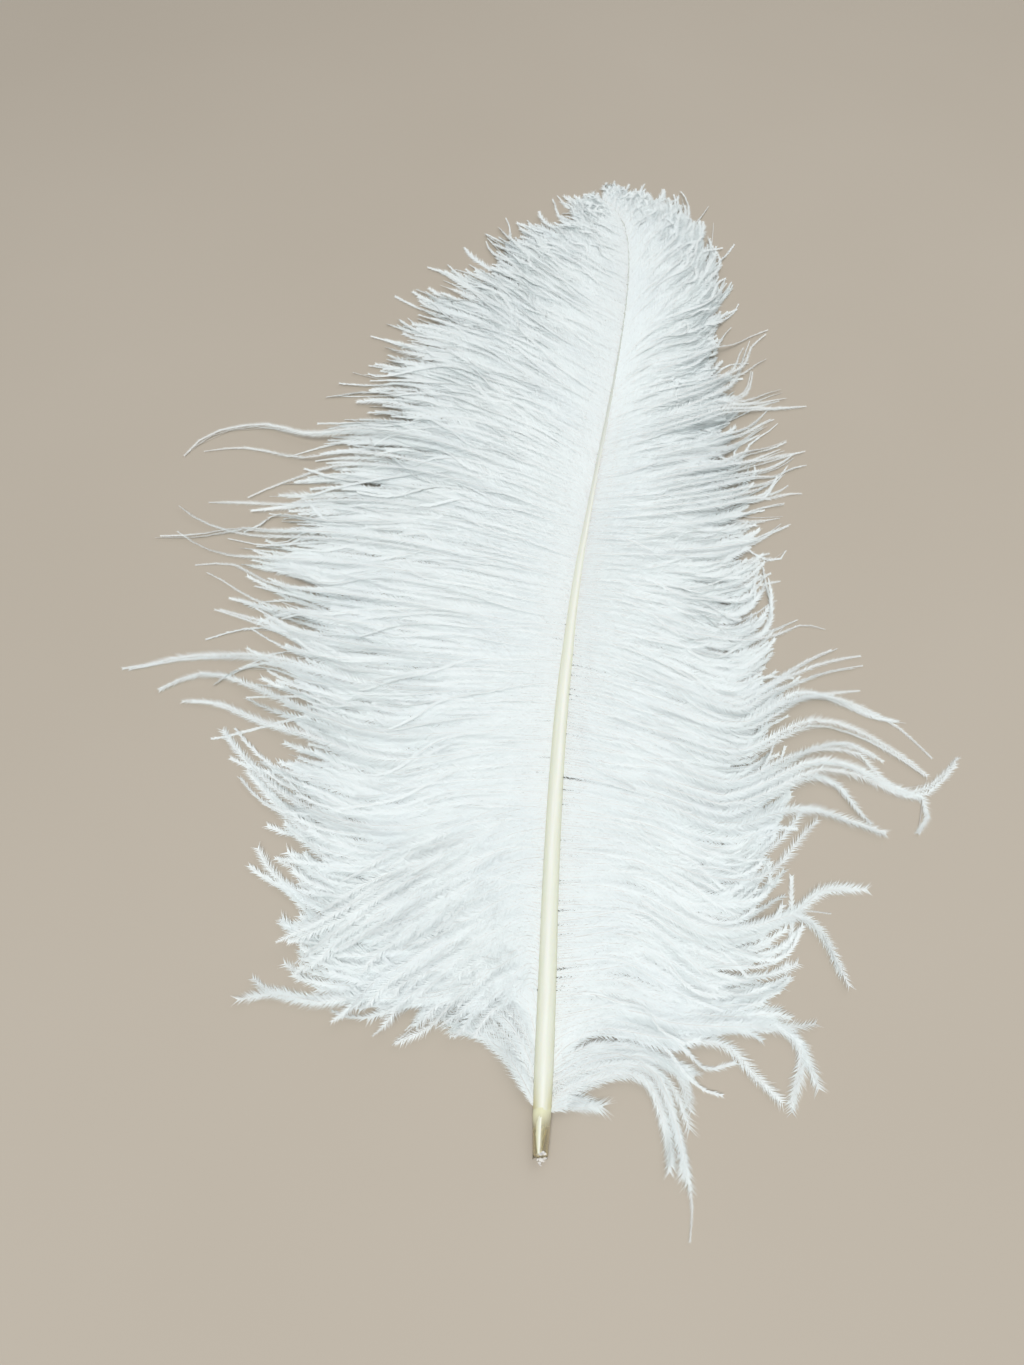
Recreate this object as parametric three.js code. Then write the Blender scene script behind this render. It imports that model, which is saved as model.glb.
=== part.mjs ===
// Ostrich wing plume lying on a flat surface, in millimetres with +Z up.
// The shaft runs along +Y from its open quill to the tip of the feather, upper side up.
// "along" is measured from the end of the quill towards the tip, "across" to the right of it.
import * as THREE from 'three';

// ---- driving dimensions ---------------------------------------------------------------------

const SHAFT_LENGTH = 604; // end of the quill to the end of the shaft, in a straight line
const REACH_LEFT = 240; // furthest barb tip left of the quill
const REACH_RIGHT = 195; // furthest barb tip right of the quill
const REACH_BASE = 24; // down that hangs past the end of the quill
const REACH_TIP = 636; // furthest barb tip, beyond the end of the shaft

const FIT_GAP = 0.4; // clear space between neighbouring pieces
const SHAFT_SIDES = 12;
const SHAFT_STEP = 10; // distance between the shaft's cross-sections
const SHAFT_DEPTH_RATIO = 0.92; // depth of the shaft's section over its width

const HOLLOW_DEPTH = 20; // the quill is an open tube for this far
const QUILL_WALL = 0.6;
const HOLLOW_END_RATIO = 0.35; // radius at the bottom of the hollow over that of its mouth

const VANE_ROOT_THICKNESS = 4; // barbs stand deep beside the shaft
const VANE_FRINGE_THICKNESS = 2; // and lie in a thin layer at their tips
const VANE_CROWN = 7; // height of the barbs' arch over a straight slope to the surface
const VANE_LANDING = 0.72; // share of the vane's width at which it comes down to the surface
const VANE_COLUMNS = 8;
const VANE_ROW_STEP = 12; // largest distance between two rows of the vane's grid

const DOWN_THICKNESS_LEFT = 7;
const DOWN_THICKNESS_RIGHT = 5;

// ---- curves that shape the feather: [along, value] ------------------------------------------

// The shaft's sideways drift: straight at the quill, a long bow to the right, a hooked tip.
const SHAFT_ACROSS = [
  [0, 0], [33, -1], [72, -2.3], [115, -3.9], [155, -4.7], [195, -4.8], [240, -3.5],
  [264, -2.4], [289, -0.7], [316, 1.8], [344, 4.5], [374, 7.5], [406, 10.7], [431, 13.1],
  [458, 15.3], [486, 17.1], [507, 18], [534, 18], [558, 16.5], [580, 12], [592, 6.2],
  [SHAFT_LENGTH, -3],
];

// Height of the shaft's middle: the quill's end lies on the surface, the barbs carry the rest.
const SHAFT_HEIGHT = [
  [0, 3.3], [40, 5], [80, 7], [130, 9.5], [190, 12.5], [250, 15], [310, 16.5],
  [370, 16.5], [430, 15], [490, 12.5], [550, 9], [580, 7], [SHAFT_LENGTH, 5.5],
];

const SHAFT_WIDTH = [
  [0, 6.1], [14, 7.5], [33, 8.3], [61, 8.2], [100, 7.8], [142, 7.4], [172, 7], [224, 6.5],
  [250, 5.5], [300, 4.8], [381, 3.5], [465, 1.9], [560, 1.2], [SHAFT_LENGTH, 0.6],
];

// Width of the closed body of each vane, inside its separate locks.
const LEFT_BODY = [[34, 70], [100, 118], [200, 165], [300, 190], [350, 165], [420, 125],
  [500, 98], [560, 62], [612, 26]];
const RIGHT_BODY = [[26, 108], [100, 112], [200, 125], [300, 104], [400, 104], [470, 88],
  [540, 68], [600, 46], [REACH_TIP, 24]];

// Outer edge of each vane, from lock to lock.
const LEFT_FRINGE = [
  [34, 71], [44, 74], [50, 84], [53, 135], [62, 130], [72, 112], [90, 130], [98, 118],
  [120, 143], [128, 135], [145, 150], [155, 140], [172, 162], [187, 180], [195, 213],
  [209, 232], [216, 182], [238, 178], [252, 201], [258, 186], [268, 211], [274, 196],
  [279, 214], [285, 205], [294, REACH_LEFT], [304, 200], [320, 224], [328, 239], [337, 198],
  [345, 190], [353, 237], [366, 230], [382, 198], [392, 165], [420, 148], [445, 130],
  [468, 126], [500, 113], [530, 99], [556, 79], [583, 46], [606, 29], [614, 26],
];
const RIGHT_FRINGE = [
  [26, 107], [34, 118], [46, 108], [66, 121], [78, 104], [88, 124], [100, 110], [112, 124],
  [126, 140], [138, 112], [152, 160], [160, 150], [170, 176], [177, 181], [186, 165],
  [200, REACH_RIGHT], [212, 150], [222, 125], [232, 148], [243, 128], [252, 150], [262, 122],
  [269, 134], [284, 110], [300, 100], [318, 112], [331, 100], [342, 119], [350, 106],
  [358, 124], [368, 110], [386, 128], [402, 108], [412, 115], [427, 131], [447, 98],
  [463, 106], [475, 92], [493, 110], [507, 80], [525, 72], [548, 84], [565, 70], [594, 75],
  [606, 50], [628, 45], [REACH_TIP, 24],
];

// Inner edge of each vane where it doesn't start at the shaft: its lowest barbs sweep back
// past the quill, and those at the tip reach beyond the shaft.
const LEFT_LOWER_EDGE = [[34, 68], [42, 56], [50, 34], [57, 8]];
const RIGHT_LOWER_EDGE = [[26, 104], [34, 85], [42, 60], [48, 40], [53, 8]];
const TIP_EDGE = [[SHAFT_LENGTH + 1, 1], [628, 0], [REACH_TIP, 3]];

// Outlines of the downy tufts beside the quill, as [across, along].
const LEFT_DOWN_OUTLINE = [
  [-5, 19], [-14, 27], [-26, 38], [-38, 41], [-44, 39], [-41, 45], [-30, 48], [-16, 50],
  [-6.4, 44],
];
const RIGHT_DOWN_OUTLINE = [
  [4.4, 16], [18, 17], [30, 16], [40, 18], [50, 8], [55, 0], [60, -REACH_BASE], [62, -REACH_BASE],
  [62, 0], [67, 14], [58, 22], [48, 38], [32, 42], [16, 41], [4.6, 38],
];

// ---- helpers --------------------------------------------------------------------------------

const lengthsOf = (pairs) => pairs.map((pair) => pair[0]);
const valuesOf = (pairs) => pairs.map((pair) => pair[1]);

function smoothCurve(pairs) {
  const curve = new THREE.CubicInterpolant(lengthsOf(pairs), valuesOf(pairs), 1);
  return (along) => curve.evaluate(along)[0];
}

function brokenLine(pairs) {
  const line = new THREE.LinearInterpolant(lengthsOf(pairs), valuesOf(pairs), 1);
  return (along) => line.evaluate(along)[0];
}

const shaftAcross = smoothCurve(SHAFT_ACROSS);
const shaftHeight = smoothCurve(SHAFT_HEIGHT);
const shaftWidth = brokenLine(SHAFT_WIDTH);

function shaftCentre(along) {
  return new THREE.Vector3(shaftAcross(along), along, shaftHeight(along));
}

// Splits the stretch from start to end into equal steps no longer than the given one.
function evenSteps(start, end, longest) {
  const count = Math.ceil((end - start) / longest);
  return Array.from({ length: count + 1 }, (_, i) => start + ((end - start) * i) / count);
}

function geometryFrom(positions, triangles) {
  const geometry = new THREE.BufferGeometry();
  geometry.setAttribute('position', new THREE.Float32BufferAttribute(positions, 3));
  geometry.setIndex(triangles);
  geometry.computeVertexNormals();
  return geometry;
}

// A closed skin over rings of points that share one count, capped by a fan at each end.
function skinOverRings(rings) {
  const sides = rings[0].length;
  const points = rings.flat();
  const triangles = [];
  for (let ring = 0; ring + 1 < rings.length; ring += 1) {
    for (let side = 0; side < sides; side += 1) {
      const next = (side + 1) % sides;
      const here = ring * sides;
      const there = here + sides;
      triangles.push(here + side, there + next, here + next);
      triangles.push(here + side, there + side, there + next);
    }
  }
  const first = points.length;
  points.push(middleOf(rings[0]), middleOf(rings.at(-1)));
  const last = (rings.length - 1) * sides;
  for (let side = 0; side < sides; side += 1) {
    const next = (side + 1) % sides;
    triangles.push(first, side, next);
    triangles.push(first + 1, last + next, last + side);
  }
  return geometryFrom(points.flatMap((point) => point.toArray()), triangles);
}

function middleOf(ring) {
  const middle = new THREE.Vector3();
  ring.forEach((point) => middle.add(point));
  return middle.divideScalar(ring.length);
}

// ---- shaft ----------------------------------------------------------------------------------

// One cross-section of the shaft, square to its middle line.
function shaftRing(along, radius) {
  const reach = 1;
  const before = shaftCentre(Math.max(along - reach, 0));
  const after = shaftCentre(Math.min(along + reach, SHAFT_LENGTH));
  const forward = after.sub(before).normalize();
  const sideways = new THREE.Vector3().crossVectors(forward, new THREE.Vector3(0, 0, 1)).normalize();
  const upward = new THREE.Vector3().crossVectors(sideways, forward);
  const centre = shaftCentre(along);
  return Array.from({ length: SHAFT_SIDES }, (_, side) => {
    const turn = (2 * Math.PI * side) / SHAFT_SIDES;
    return centre.clone()
      .addScaledVector(sideways, radius * Math.cos(turn))
      .addScaledVector(upward, radius * SHAFT_DEPTH_RATIO * Math.sin(turn));
  });
}

// The skin runs from the bottom of the quill's hollow out to its mouth and on to the tip.
function shaftGeometry() {
  const hollowStations = [HOLLOW_DEPTH, 0.8 * HOLLOW_DEPTH, 0.45 * HOLLOW_DEPTH, 0];
  const hollow = hollowStations.map((along, i) => {
    const radius = shaftWidth(along) / 2 - QUILL_WALL;
    return shaftRing(along, i === 0 ? radius * HOLLOW_END_RATIO : radius);
  });
  const outsideStations = [0, 7, ...evenSteps(14, SHAFT_LENGTH, SHAFT_STEP)];
  const outside = outsideStations.map((along) => shaftRing(along, shaftWidth(along) / 2));
  return skinOverRings([...hollow, ...outside]);
}

// ---- dried pulp in the mouth of the quill -----------------------------------------------------

// [distance from the mouth into the quill, radius]
const PULP_PROFILE = [[-5, 0], [-4, 1.4], [-1, 1.9], [5, 2], [12, 1.7], [17, 0]];

function pulpGeometry() {
  const profile = PULP_PROFILE.map(([depth, radius]) => new THREE.Vector2(radius, depth));
  const geometry = new THREE.LatheGeometry(profile, SHAFT_SIDES);
  geometry.translate(shaftAcross(0), 0, shaftHeight(0));
  return geometry;
}

// ---- vanes ----------------------------------------------------------------------------------

// Where the vane starts beside the shaft, as a distance from the quill's line on its own side.
function rootDistance(along, side) {
  const onShaft = Math.min(along, SHAFT_LENGTH);
  const lean = shaftAcross(onShaft) - shaftAcross(onShaft - 1);
  const clearance = (shaftWidth(onShaft) / 2 + FIT_GAP) * Math.hypot(1, lean);
  return side * shaftAcross(onShaft) + clearance;
}

function smoothStep(share) {
  return THREE.MathUtils.smoothstep(share, 0, 1);
}

// Lower and upper face of the layer of barbs at one place.
function vaneFaces(distance, along, side, bodyWidth) {
  const root = rootDistance(along, side);
  const share = THREE.MathUtils.clamp((distance - root) / (bodyWidth(along) - root), 0, 1);
  const thickness = THREE.MathUtils.lerp(VANE_ROOT_THICKNESS, VANE_FRINGE_THICKNESS, share);
  const height = shaftHeight(Math.min(along, SHAFT_LENGTH));
  const slope = Math.min(share / VANE_LANDING, 1);
  const crown = VANE_CROWN * (height / shaftHeight(SHAFT_LENGTH / 2));
  const rootFace = height - VANE_ROOT_THICKNESS / 2;
  const lower = rootFace * (1 - smoothStep(slope)) + crown * Math.sin(Math.PI * slope);
  return [Math.max(lower, 0), Math.max(lower, 0) + thickness];
}

// Rows at the shaft's end and at every corner of the outline, with more between corners that
// lie far apart.
function rowStations(fringe, edges) {
  const corners = [SHAFT_LENGTH, ...lengthsOf(fringe), ...edges.flatMap(lengthsOf)];
  const sorted = [...new Set(corners)].sort((a, b) => a - b);
  const kept = sorted.filter((along) => along <= fringe.at(-1)[0]);
  const steps = kept.slice(1).flatMap((end, i) => evenSteps(kept[i], end, VANE_ROW_STEP).slice(1));
  return [kept[0], ...steps];
}

// A thin arched layer, from the shaft out to the fringe. Side is -1 for left and 1 for right.
function vaneGeometry({ side, fringe, body, lowerEdge, tipEdge = [] }) {
  const fringeAt = brokenLine(fringe);
  const bodyAt = brokenLine(body);
  const lowerEdgeAt = brokenLine(lowerEdge);
  const tipEdgeAt = tipEdge.length ? brokenLine(tipEdge) : null;
  const shaftSideStart = lowerEdge.at(-1)[0];

  const innerEdge = (along) => {
    if (along < shaftSideStart) {
      return Math.max(lowerEdgeAt(along), rootDistance(along, side));
    }
    return tipEdgeAt && along > SHAFT_LENGTH ? tipEdgeAt(along) : rootDistance(along, side);
  };

  const rows = rowStations(fringe, [lowerEdge, tipEdge]).map((along) => {
    const inner = innerEdge(along);
    const outer = fringeAt(along);
    const row = Array.from({ length: VANE_COLUMNS + 1 }, (_, column) => {
      const distance = THREE.MathUtils.lerp(inner, outer, column / VANE_COLUMNS);
      const [lower, upper] = vaneFaces(distance, along, side, bodyAt);
      return { across: side * distance, along, lower, upper };
    });
    return side > 0 ? row : row.reverse();
  });
  return slabFromRows(rows);
}

// Closes a grid of columns into a solid: upper face, lower face and four edge walls.
function slabFromRows(rows) {
  const width = rows[0].length;
  const cells = rows.flat();
  const upper = cells.flatMap((cell) => [cell.across, cell.along, cell.upper]);
  const lower = cells.flatMap((cell) => [cell.across, cell.along, cell.lower]);
  const below = cells.length;
  const triangles = [];
  const wall = (a, b) => triangles.push(a, a + below, b + below, a, b + below, b);
  for (let row = 0; row + 1 < rows.length; row += 1) {
    for (let column = 0; column + 1 < width; column += 1) {
      const a = row * width + column;
      const b = a + 1;
      const c = b + width;
      const d = a + width;
      triangles.push(a, b, c, a, c, d);
      triangles.push(a + below, c + below, b + below, a + below, d + below, c + below);
    }
    wall((row + 1) * width, row * width);
    wall(row * width + width - 1, (row + 2) * width - 1);
  }
  const lastRow = (rows.length - 1) * width;
  for (let column = 0; column + 1 < width; column += 1) {
    wall(column, column + 1);
    wall(lastRow + column + 1, lastRow + column);
  }
  return geometryFrom([...upper, ...lower], triangles);
}

// ---- down -----------------------------------------------------------------------------------

// A flat tuft lying on the surface beside the quill.
function downGeometry(outline, thickness) {
  const shape = new THREE.Shape(outline.map(([across, along]) => new THREE.Vector2(across, along)));
  return new THREE.ExtrudeGeometry(shape, { depth: thickness, bevelEnabled: false });
}

// ---- pieces ---------------------------------------------------------------------------------

const horn = new THREE.MeshStandardMaterial({ color: 0xe2d9ab, roughness: 0.38, metalness: 0 });
const membrane = new THREE.MeshStandardMaterial({ color: 0xe9e4d8, roughness: 0.8, metalness: 0 });
const plume = new THREE.MeshStandardMaterial({ color: 0xf1f2f2, roughness: 0.9, metalness: 0 });
const down = new THREE.MeshStandardMaterial({ color: 0xf4f3f0, roughness: 0.95, metalness: 0 });

function piece(name, geometry, material) {
  const mesh = new THREE.Mesh(geometry, material);
  mesh.name = name;
  return mesh;
}

const leftVane = vaneGeometry({
  side: -1,
  fringe: LEFT_FRINGE,
  body: LEFT_BODY,
  lowerEdge: LEFT_LOWER_EDGE,
});
const rightVane = vaneGeometry({
  side: 1,
  fringe: RIGHT_FRINGE,
  body: RIGHT_BODY,
  lowerEdge: RIGHT_LOWER_EDGE,
  tipEdge: TIP_EDGE,
});

const feather = new THREE.Group();
feather.add(
  piece('shaft', shaftGeometry(), horn),
  piece('pulp_cap', pulpGeometry(), membrane),
  piece('left_vane', leftVane, plume),
  piece('right_vane', rightVane, plume),
  piece('left_down', downGeometry(LEFT_DOWN_OUTLINE, DOWN_THICKNESS_LEFT), down),
  piece('right_down', downGeometry(RIGHT_DOWN_OUTLINE, DOWN_THICKNESS_RIGHT), down),
);

// The origin is under the middle of the whole feather, on the surface that it lies on.
feather.position.set((REACH_LEFT - REACH_RIGHT) / 2, (REACH_BASE - REACH_TIP) / 2, 0);

export default feather;
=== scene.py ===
import math

import bpy
import numpy as np
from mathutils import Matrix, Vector


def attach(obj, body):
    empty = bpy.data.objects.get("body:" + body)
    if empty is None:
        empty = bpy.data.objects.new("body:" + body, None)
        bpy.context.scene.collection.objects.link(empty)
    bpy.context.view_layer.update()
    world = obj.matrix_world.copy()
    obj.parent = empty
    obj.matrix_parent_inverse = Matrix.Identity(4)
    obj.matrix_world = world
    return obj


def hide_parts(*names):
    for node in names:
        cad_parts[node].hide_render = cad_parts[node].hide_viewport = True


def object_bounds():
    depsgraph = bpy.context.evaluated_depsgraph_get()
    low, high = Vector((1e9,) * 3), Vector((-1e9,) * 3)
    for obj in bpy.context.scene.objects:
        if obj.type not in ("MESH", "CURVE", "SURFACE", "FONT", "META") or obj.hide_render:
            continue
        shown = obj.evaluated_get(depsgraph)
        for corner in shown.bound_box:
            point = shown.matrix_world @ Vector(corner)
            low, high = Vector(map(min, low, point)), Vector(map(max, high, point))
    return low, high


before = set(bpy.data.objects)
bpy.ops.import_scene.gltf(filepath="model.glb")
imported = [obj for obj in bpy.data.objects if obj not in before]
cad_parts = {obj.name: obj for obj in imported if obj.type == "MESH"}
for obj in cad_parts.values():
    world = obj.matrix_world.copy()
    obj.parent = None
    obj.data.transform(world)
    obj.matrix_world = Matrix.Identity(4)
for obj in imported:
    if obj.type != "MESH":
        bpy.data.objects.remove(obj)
cad_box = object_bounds()

# White ostrich wing plume lying on a floor. Lengths below are in millimetres and are turned
# into metres where a mesh is made. "along" runs from the end of the quill towards the tip,
# "across" to the right of the quill, both on the floor.

MM = 0.001
REACH_LEFT = 240  # the leftmost barb tip, from the quill
REACH_BASE = 24  # the down that hangs past the end of the quill
QUILL_X = cad_box[0][0] / MM + REACH_LEFT
QUILL_Y = cad_box[0][1] / MM + REACH_BASE

# ---- shaft: [along, value] --------------------------------------------------------------------

SHAFT_LENGTH = 604
SHAFT_ACROSS = [
    [0, 0], [33, -1], [72, -2.3], [115, -3.9], [155, -4.7], [195, -4.8], [240, -3.5],
    [264, -2.4], [289, -0.7], [316, 1.8], [344, 4.5], [374, 7.5], [406, 10.7], [431, 13.1],
    [458, 15.3], [486, 17.1], [507, 18], [534, 18], [558, 16.5], [580, 12], [592, 6.2],
    [SHAFT_LENGTH, -3],
]
SHAFT_HEIGHT = [
    [0, 3.3], [40, 5], [80, 7], [130, 9.5], [190, 12.5], [250, 15], [310, 16.5],
    [370, 16.5], [430, 15], [490, 12.5], [550, 9], [580, 7], [SHAFT_LENGTH, 5.5],
]
SHAFT_WIDTH = [
    [0, 6.1], [14, 7.5], [33, 8.3], [61, 8.2], [100, 7.8], [142, 7.4], [172, 7], [224, 6.5],
    [250, 5.5], [300, 4.8], [381, 3.5], [465, 1.9], [560, 1.2], [SHAFT_LENGTH, 0.6],
]
SHAFT_DEPTH_RATIO = 0.92  # depth of its oval section over its width
SHAFT_SIDES = 28
CORE_WALL = [  # how far the white core lies inside the clear quill's outer face
    [1, 2.1], [4, 1.6], [8, 1.15], [12, 0.8], [15, 0.5], [17, 0.2], [18.5, 0],
]
CORE_SHIFT = [[1, 0.6], [8, 0.5], [13, 0.3], [16, 0.1], [18, 0]]  # and how far to the left

# ---- barbs ------------------------------------------------------------------------------------

# Each row is one barb: where it leaves the shaft, then points of its way out on the floor
# plan, (across, along). Barbs between two rows run between them.
RIGHT_ROWS = [
    (34, [(9, 42), (17, 49), (32, 50), (48, 48), (62, 50), (78, 55)]),
    (38, [(12, 48), (24, 53), (40, 52), (56, 52), (76, 56)]),
    (42, [(14, 51), (32, 56), (57, 53), (80, 51)]),
    (60, [(29, 63), (59, 57), (85, 60), (104, 58)]),
    (75, [(31, 79), (61, 69), (84, 71), (100, 77)]),
    (92, [(33, 95), (63, 83), (86, 84), (108, 91)]),
    (112, [(35, 113), (67, 100), (90, 104), (112, 118)]),
    (132, [(37, 130), (71, 118), (90, 125), (106, 148)]),
    (152, [(39, 147), (75, 138), (94, 147), (112, 170)]),
    (175, [(41, 168), (79, 160), (98, 172), (117, 184)]),
    (200, [(42, 190), (81, 183), (98, 195), (120, 208)]),
    (230, [(43, 219), (81, 210), (98, 223), (118, 244)]),
    (260, [(42, 253), (75, 249), (91, 259), (105, 280)]),
    (300, [(35, 299), (64, 308), (87, 322), (104, 338)]),
    (340, [(30, 345), (56, 358), (78, 372), (98, 388)]),
    (380, [(29, 388), (52, 403), (71, 420), (89, 441)]),
    (420, [(30, 437), (53, 454), (72, 476), (85, 502)]),
    (450, [(31, 470), (50, 492), (66, 520), (74, 550), (76, 578)]),
    (480, [(31, 503), (45, 528), (56, 558), (61, 585), (61, 614)]),
    (510, [(30, 532), (43, 556), (52, 584), (54, 605), (51, 626)]),
    (535, [(29, 554), (39, 576), (44, 600), (45, 615), (42, 628)]),
    (558, [(26, 576), (33, 598), (36, 614), (35, 627)]),
    (575, [(21, 591), (25, 610), (26, 626)]),
    (588, [(13, 605), (17, 620), (19, 630)]),
    (597, [(6, 612), (8, 630)]),
    (604, [(0, 616), (0, 631)]),
]
LEFT_ROWS = [
    (52, [(-24, 65), (-48, 57), (-78, 55), (-110, 54)]),
    (64, [(-28, 74), (-57, 64), (-92, 61), (-121, 66)]),
    (78, [(-32, 84), (-63, 70), (-96, 71), (-127, 89)]),
    (95, [(-35, 97), (-69, 83), (-100, 87), (-134, 107)]),
    (115, [(-39, 114), (-74, 101), (-106, 104), (-138, 122)]),
    (135, [(-41, 133), (-79, 120), (-112, 126), (-140, 146)]),
    (155, [(-43, 152), (-84, 142), (-119, 150), (-154, 170)]),
    (178, [(-44, 174), (-88, 167), (-127, 180), (-162, 192)]),
    (200, [(-44, 197), (-93, 194), (-134, 207), (-168, 220)]),
    (230, [(-44, 229), (-98, 235), (-149, 246), (-185, 262)]),
    (260, [(-44, 263), (-97, 273), (-159, 283), (-200, 285)]),
    (290, [(-39, 297), (-98, 313), (-149, 320), (-190, 318)]),
    (320, [(-34, 332), (-88, 353), (-139, 364), (-178, 360)]),
    (350, [(-27, 366), (-78, 396), (-125, 413), (-158, 412)]),
    (385, [(-26, 402), (-61, 424), (-99, 448), (-145, 468)]),
    (420, [(-19, 436), (-50, 459), (-83, 487), (-125, 516)]),
    (450, [(-10, 463), (-34, 484), (-58, 511), (-90, 545)]),
    (480, [(-7, 492), (-29, 513), (-52, 541), (-80, 576)]),
    (510, [(-2, 519), (-20, 536), (-38, 559), (-63, 586)]),
    (532, [(2, 539), (-12, 553), (-25, 572), (-43, 595)]),
    (552, [(4, 558), (-8, 570), (-19, 586), (-33, 604)]),
    (570, [(3, 575), (-6, 584), (-15, 597), (-26, 610)]),
    (586, [(-1, 591), (-10, 602), (-18, 612)]),
    (597, [(-4, 600), (-10, 608), (-15, 613)]),
    (604, [(-6, 603), (-7, 609), (-8, 617)]),
]
# Down grows in groups: how many barbs, how fluffy, and rows like those above.
RIGHT_DOWN = [
    (7, 1.1, [
        (17, [(13, 20), (17, 20), (21, 19)]),
        (20, [(13, 24), (19, 23), (26, 21)]),
    ]),
    (5, 0.9, [
        (19, [(15, 26), (27, 32), (37, 34), (44, 30), (48, 22), (52, 7), (51, -6)]),
        (23, [(16, 31), (30, 36), (41, 35), (46, 29), (50, 19), (53, 5), (54, -4)]),
    ]),
    (5, 0.9, [
        (23, [(17, 31), (32, 37), (44, 36), (50, 29), (54, 19), (57, 5), (58, -5)]),
        (27, [(18, 35), (34, 39), (46, 37), (52, 28), (56, 16), (60, 4), (61, -6)]),
    ]),
    (2, 0.9, [
        (26, [(18, 34), (35, 38), (49, 33), (54, 27), (58, 19), (60, 12)]),
        (29, [(18, 37), (35, 41), (47, 38), (55, 29), (59, 20), (62, 11)]),
    ]),
    (4, 0.85, [
        (28, [(18, 38), (34, 42), (48, 40), (54, 36), (58, 28), (61, 18)]),
        (32, [(18, 40), (34, 43), (49, 42), (57, 36), (61, 27), (63, 17)]),
    ]),
    (12, 1.0, [
        (29, [(18, 39), (35, 43), (48, 42), (59, 39)]),
        (36, [(12, 42), (22, 46), (36, 47), (48, 45), (61, 41)]),
    ]),
]
LEFT_DOWN = [
    (40, 1.15, [
        (18, [(-10, 27), (-17, 35), (-25, 42), (-38, 47)]),
        (30, [(-11, 42), (-22, 54), (-38, 58), (-56, 53)]),
        (44, [(-11, 59), (-26, 69), (-48, 65), (-70, 55)]),
        (58, [(-14, 75), (-34, 77), (-60, 67), (-84, 57)]),
    ]),
]

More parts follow.
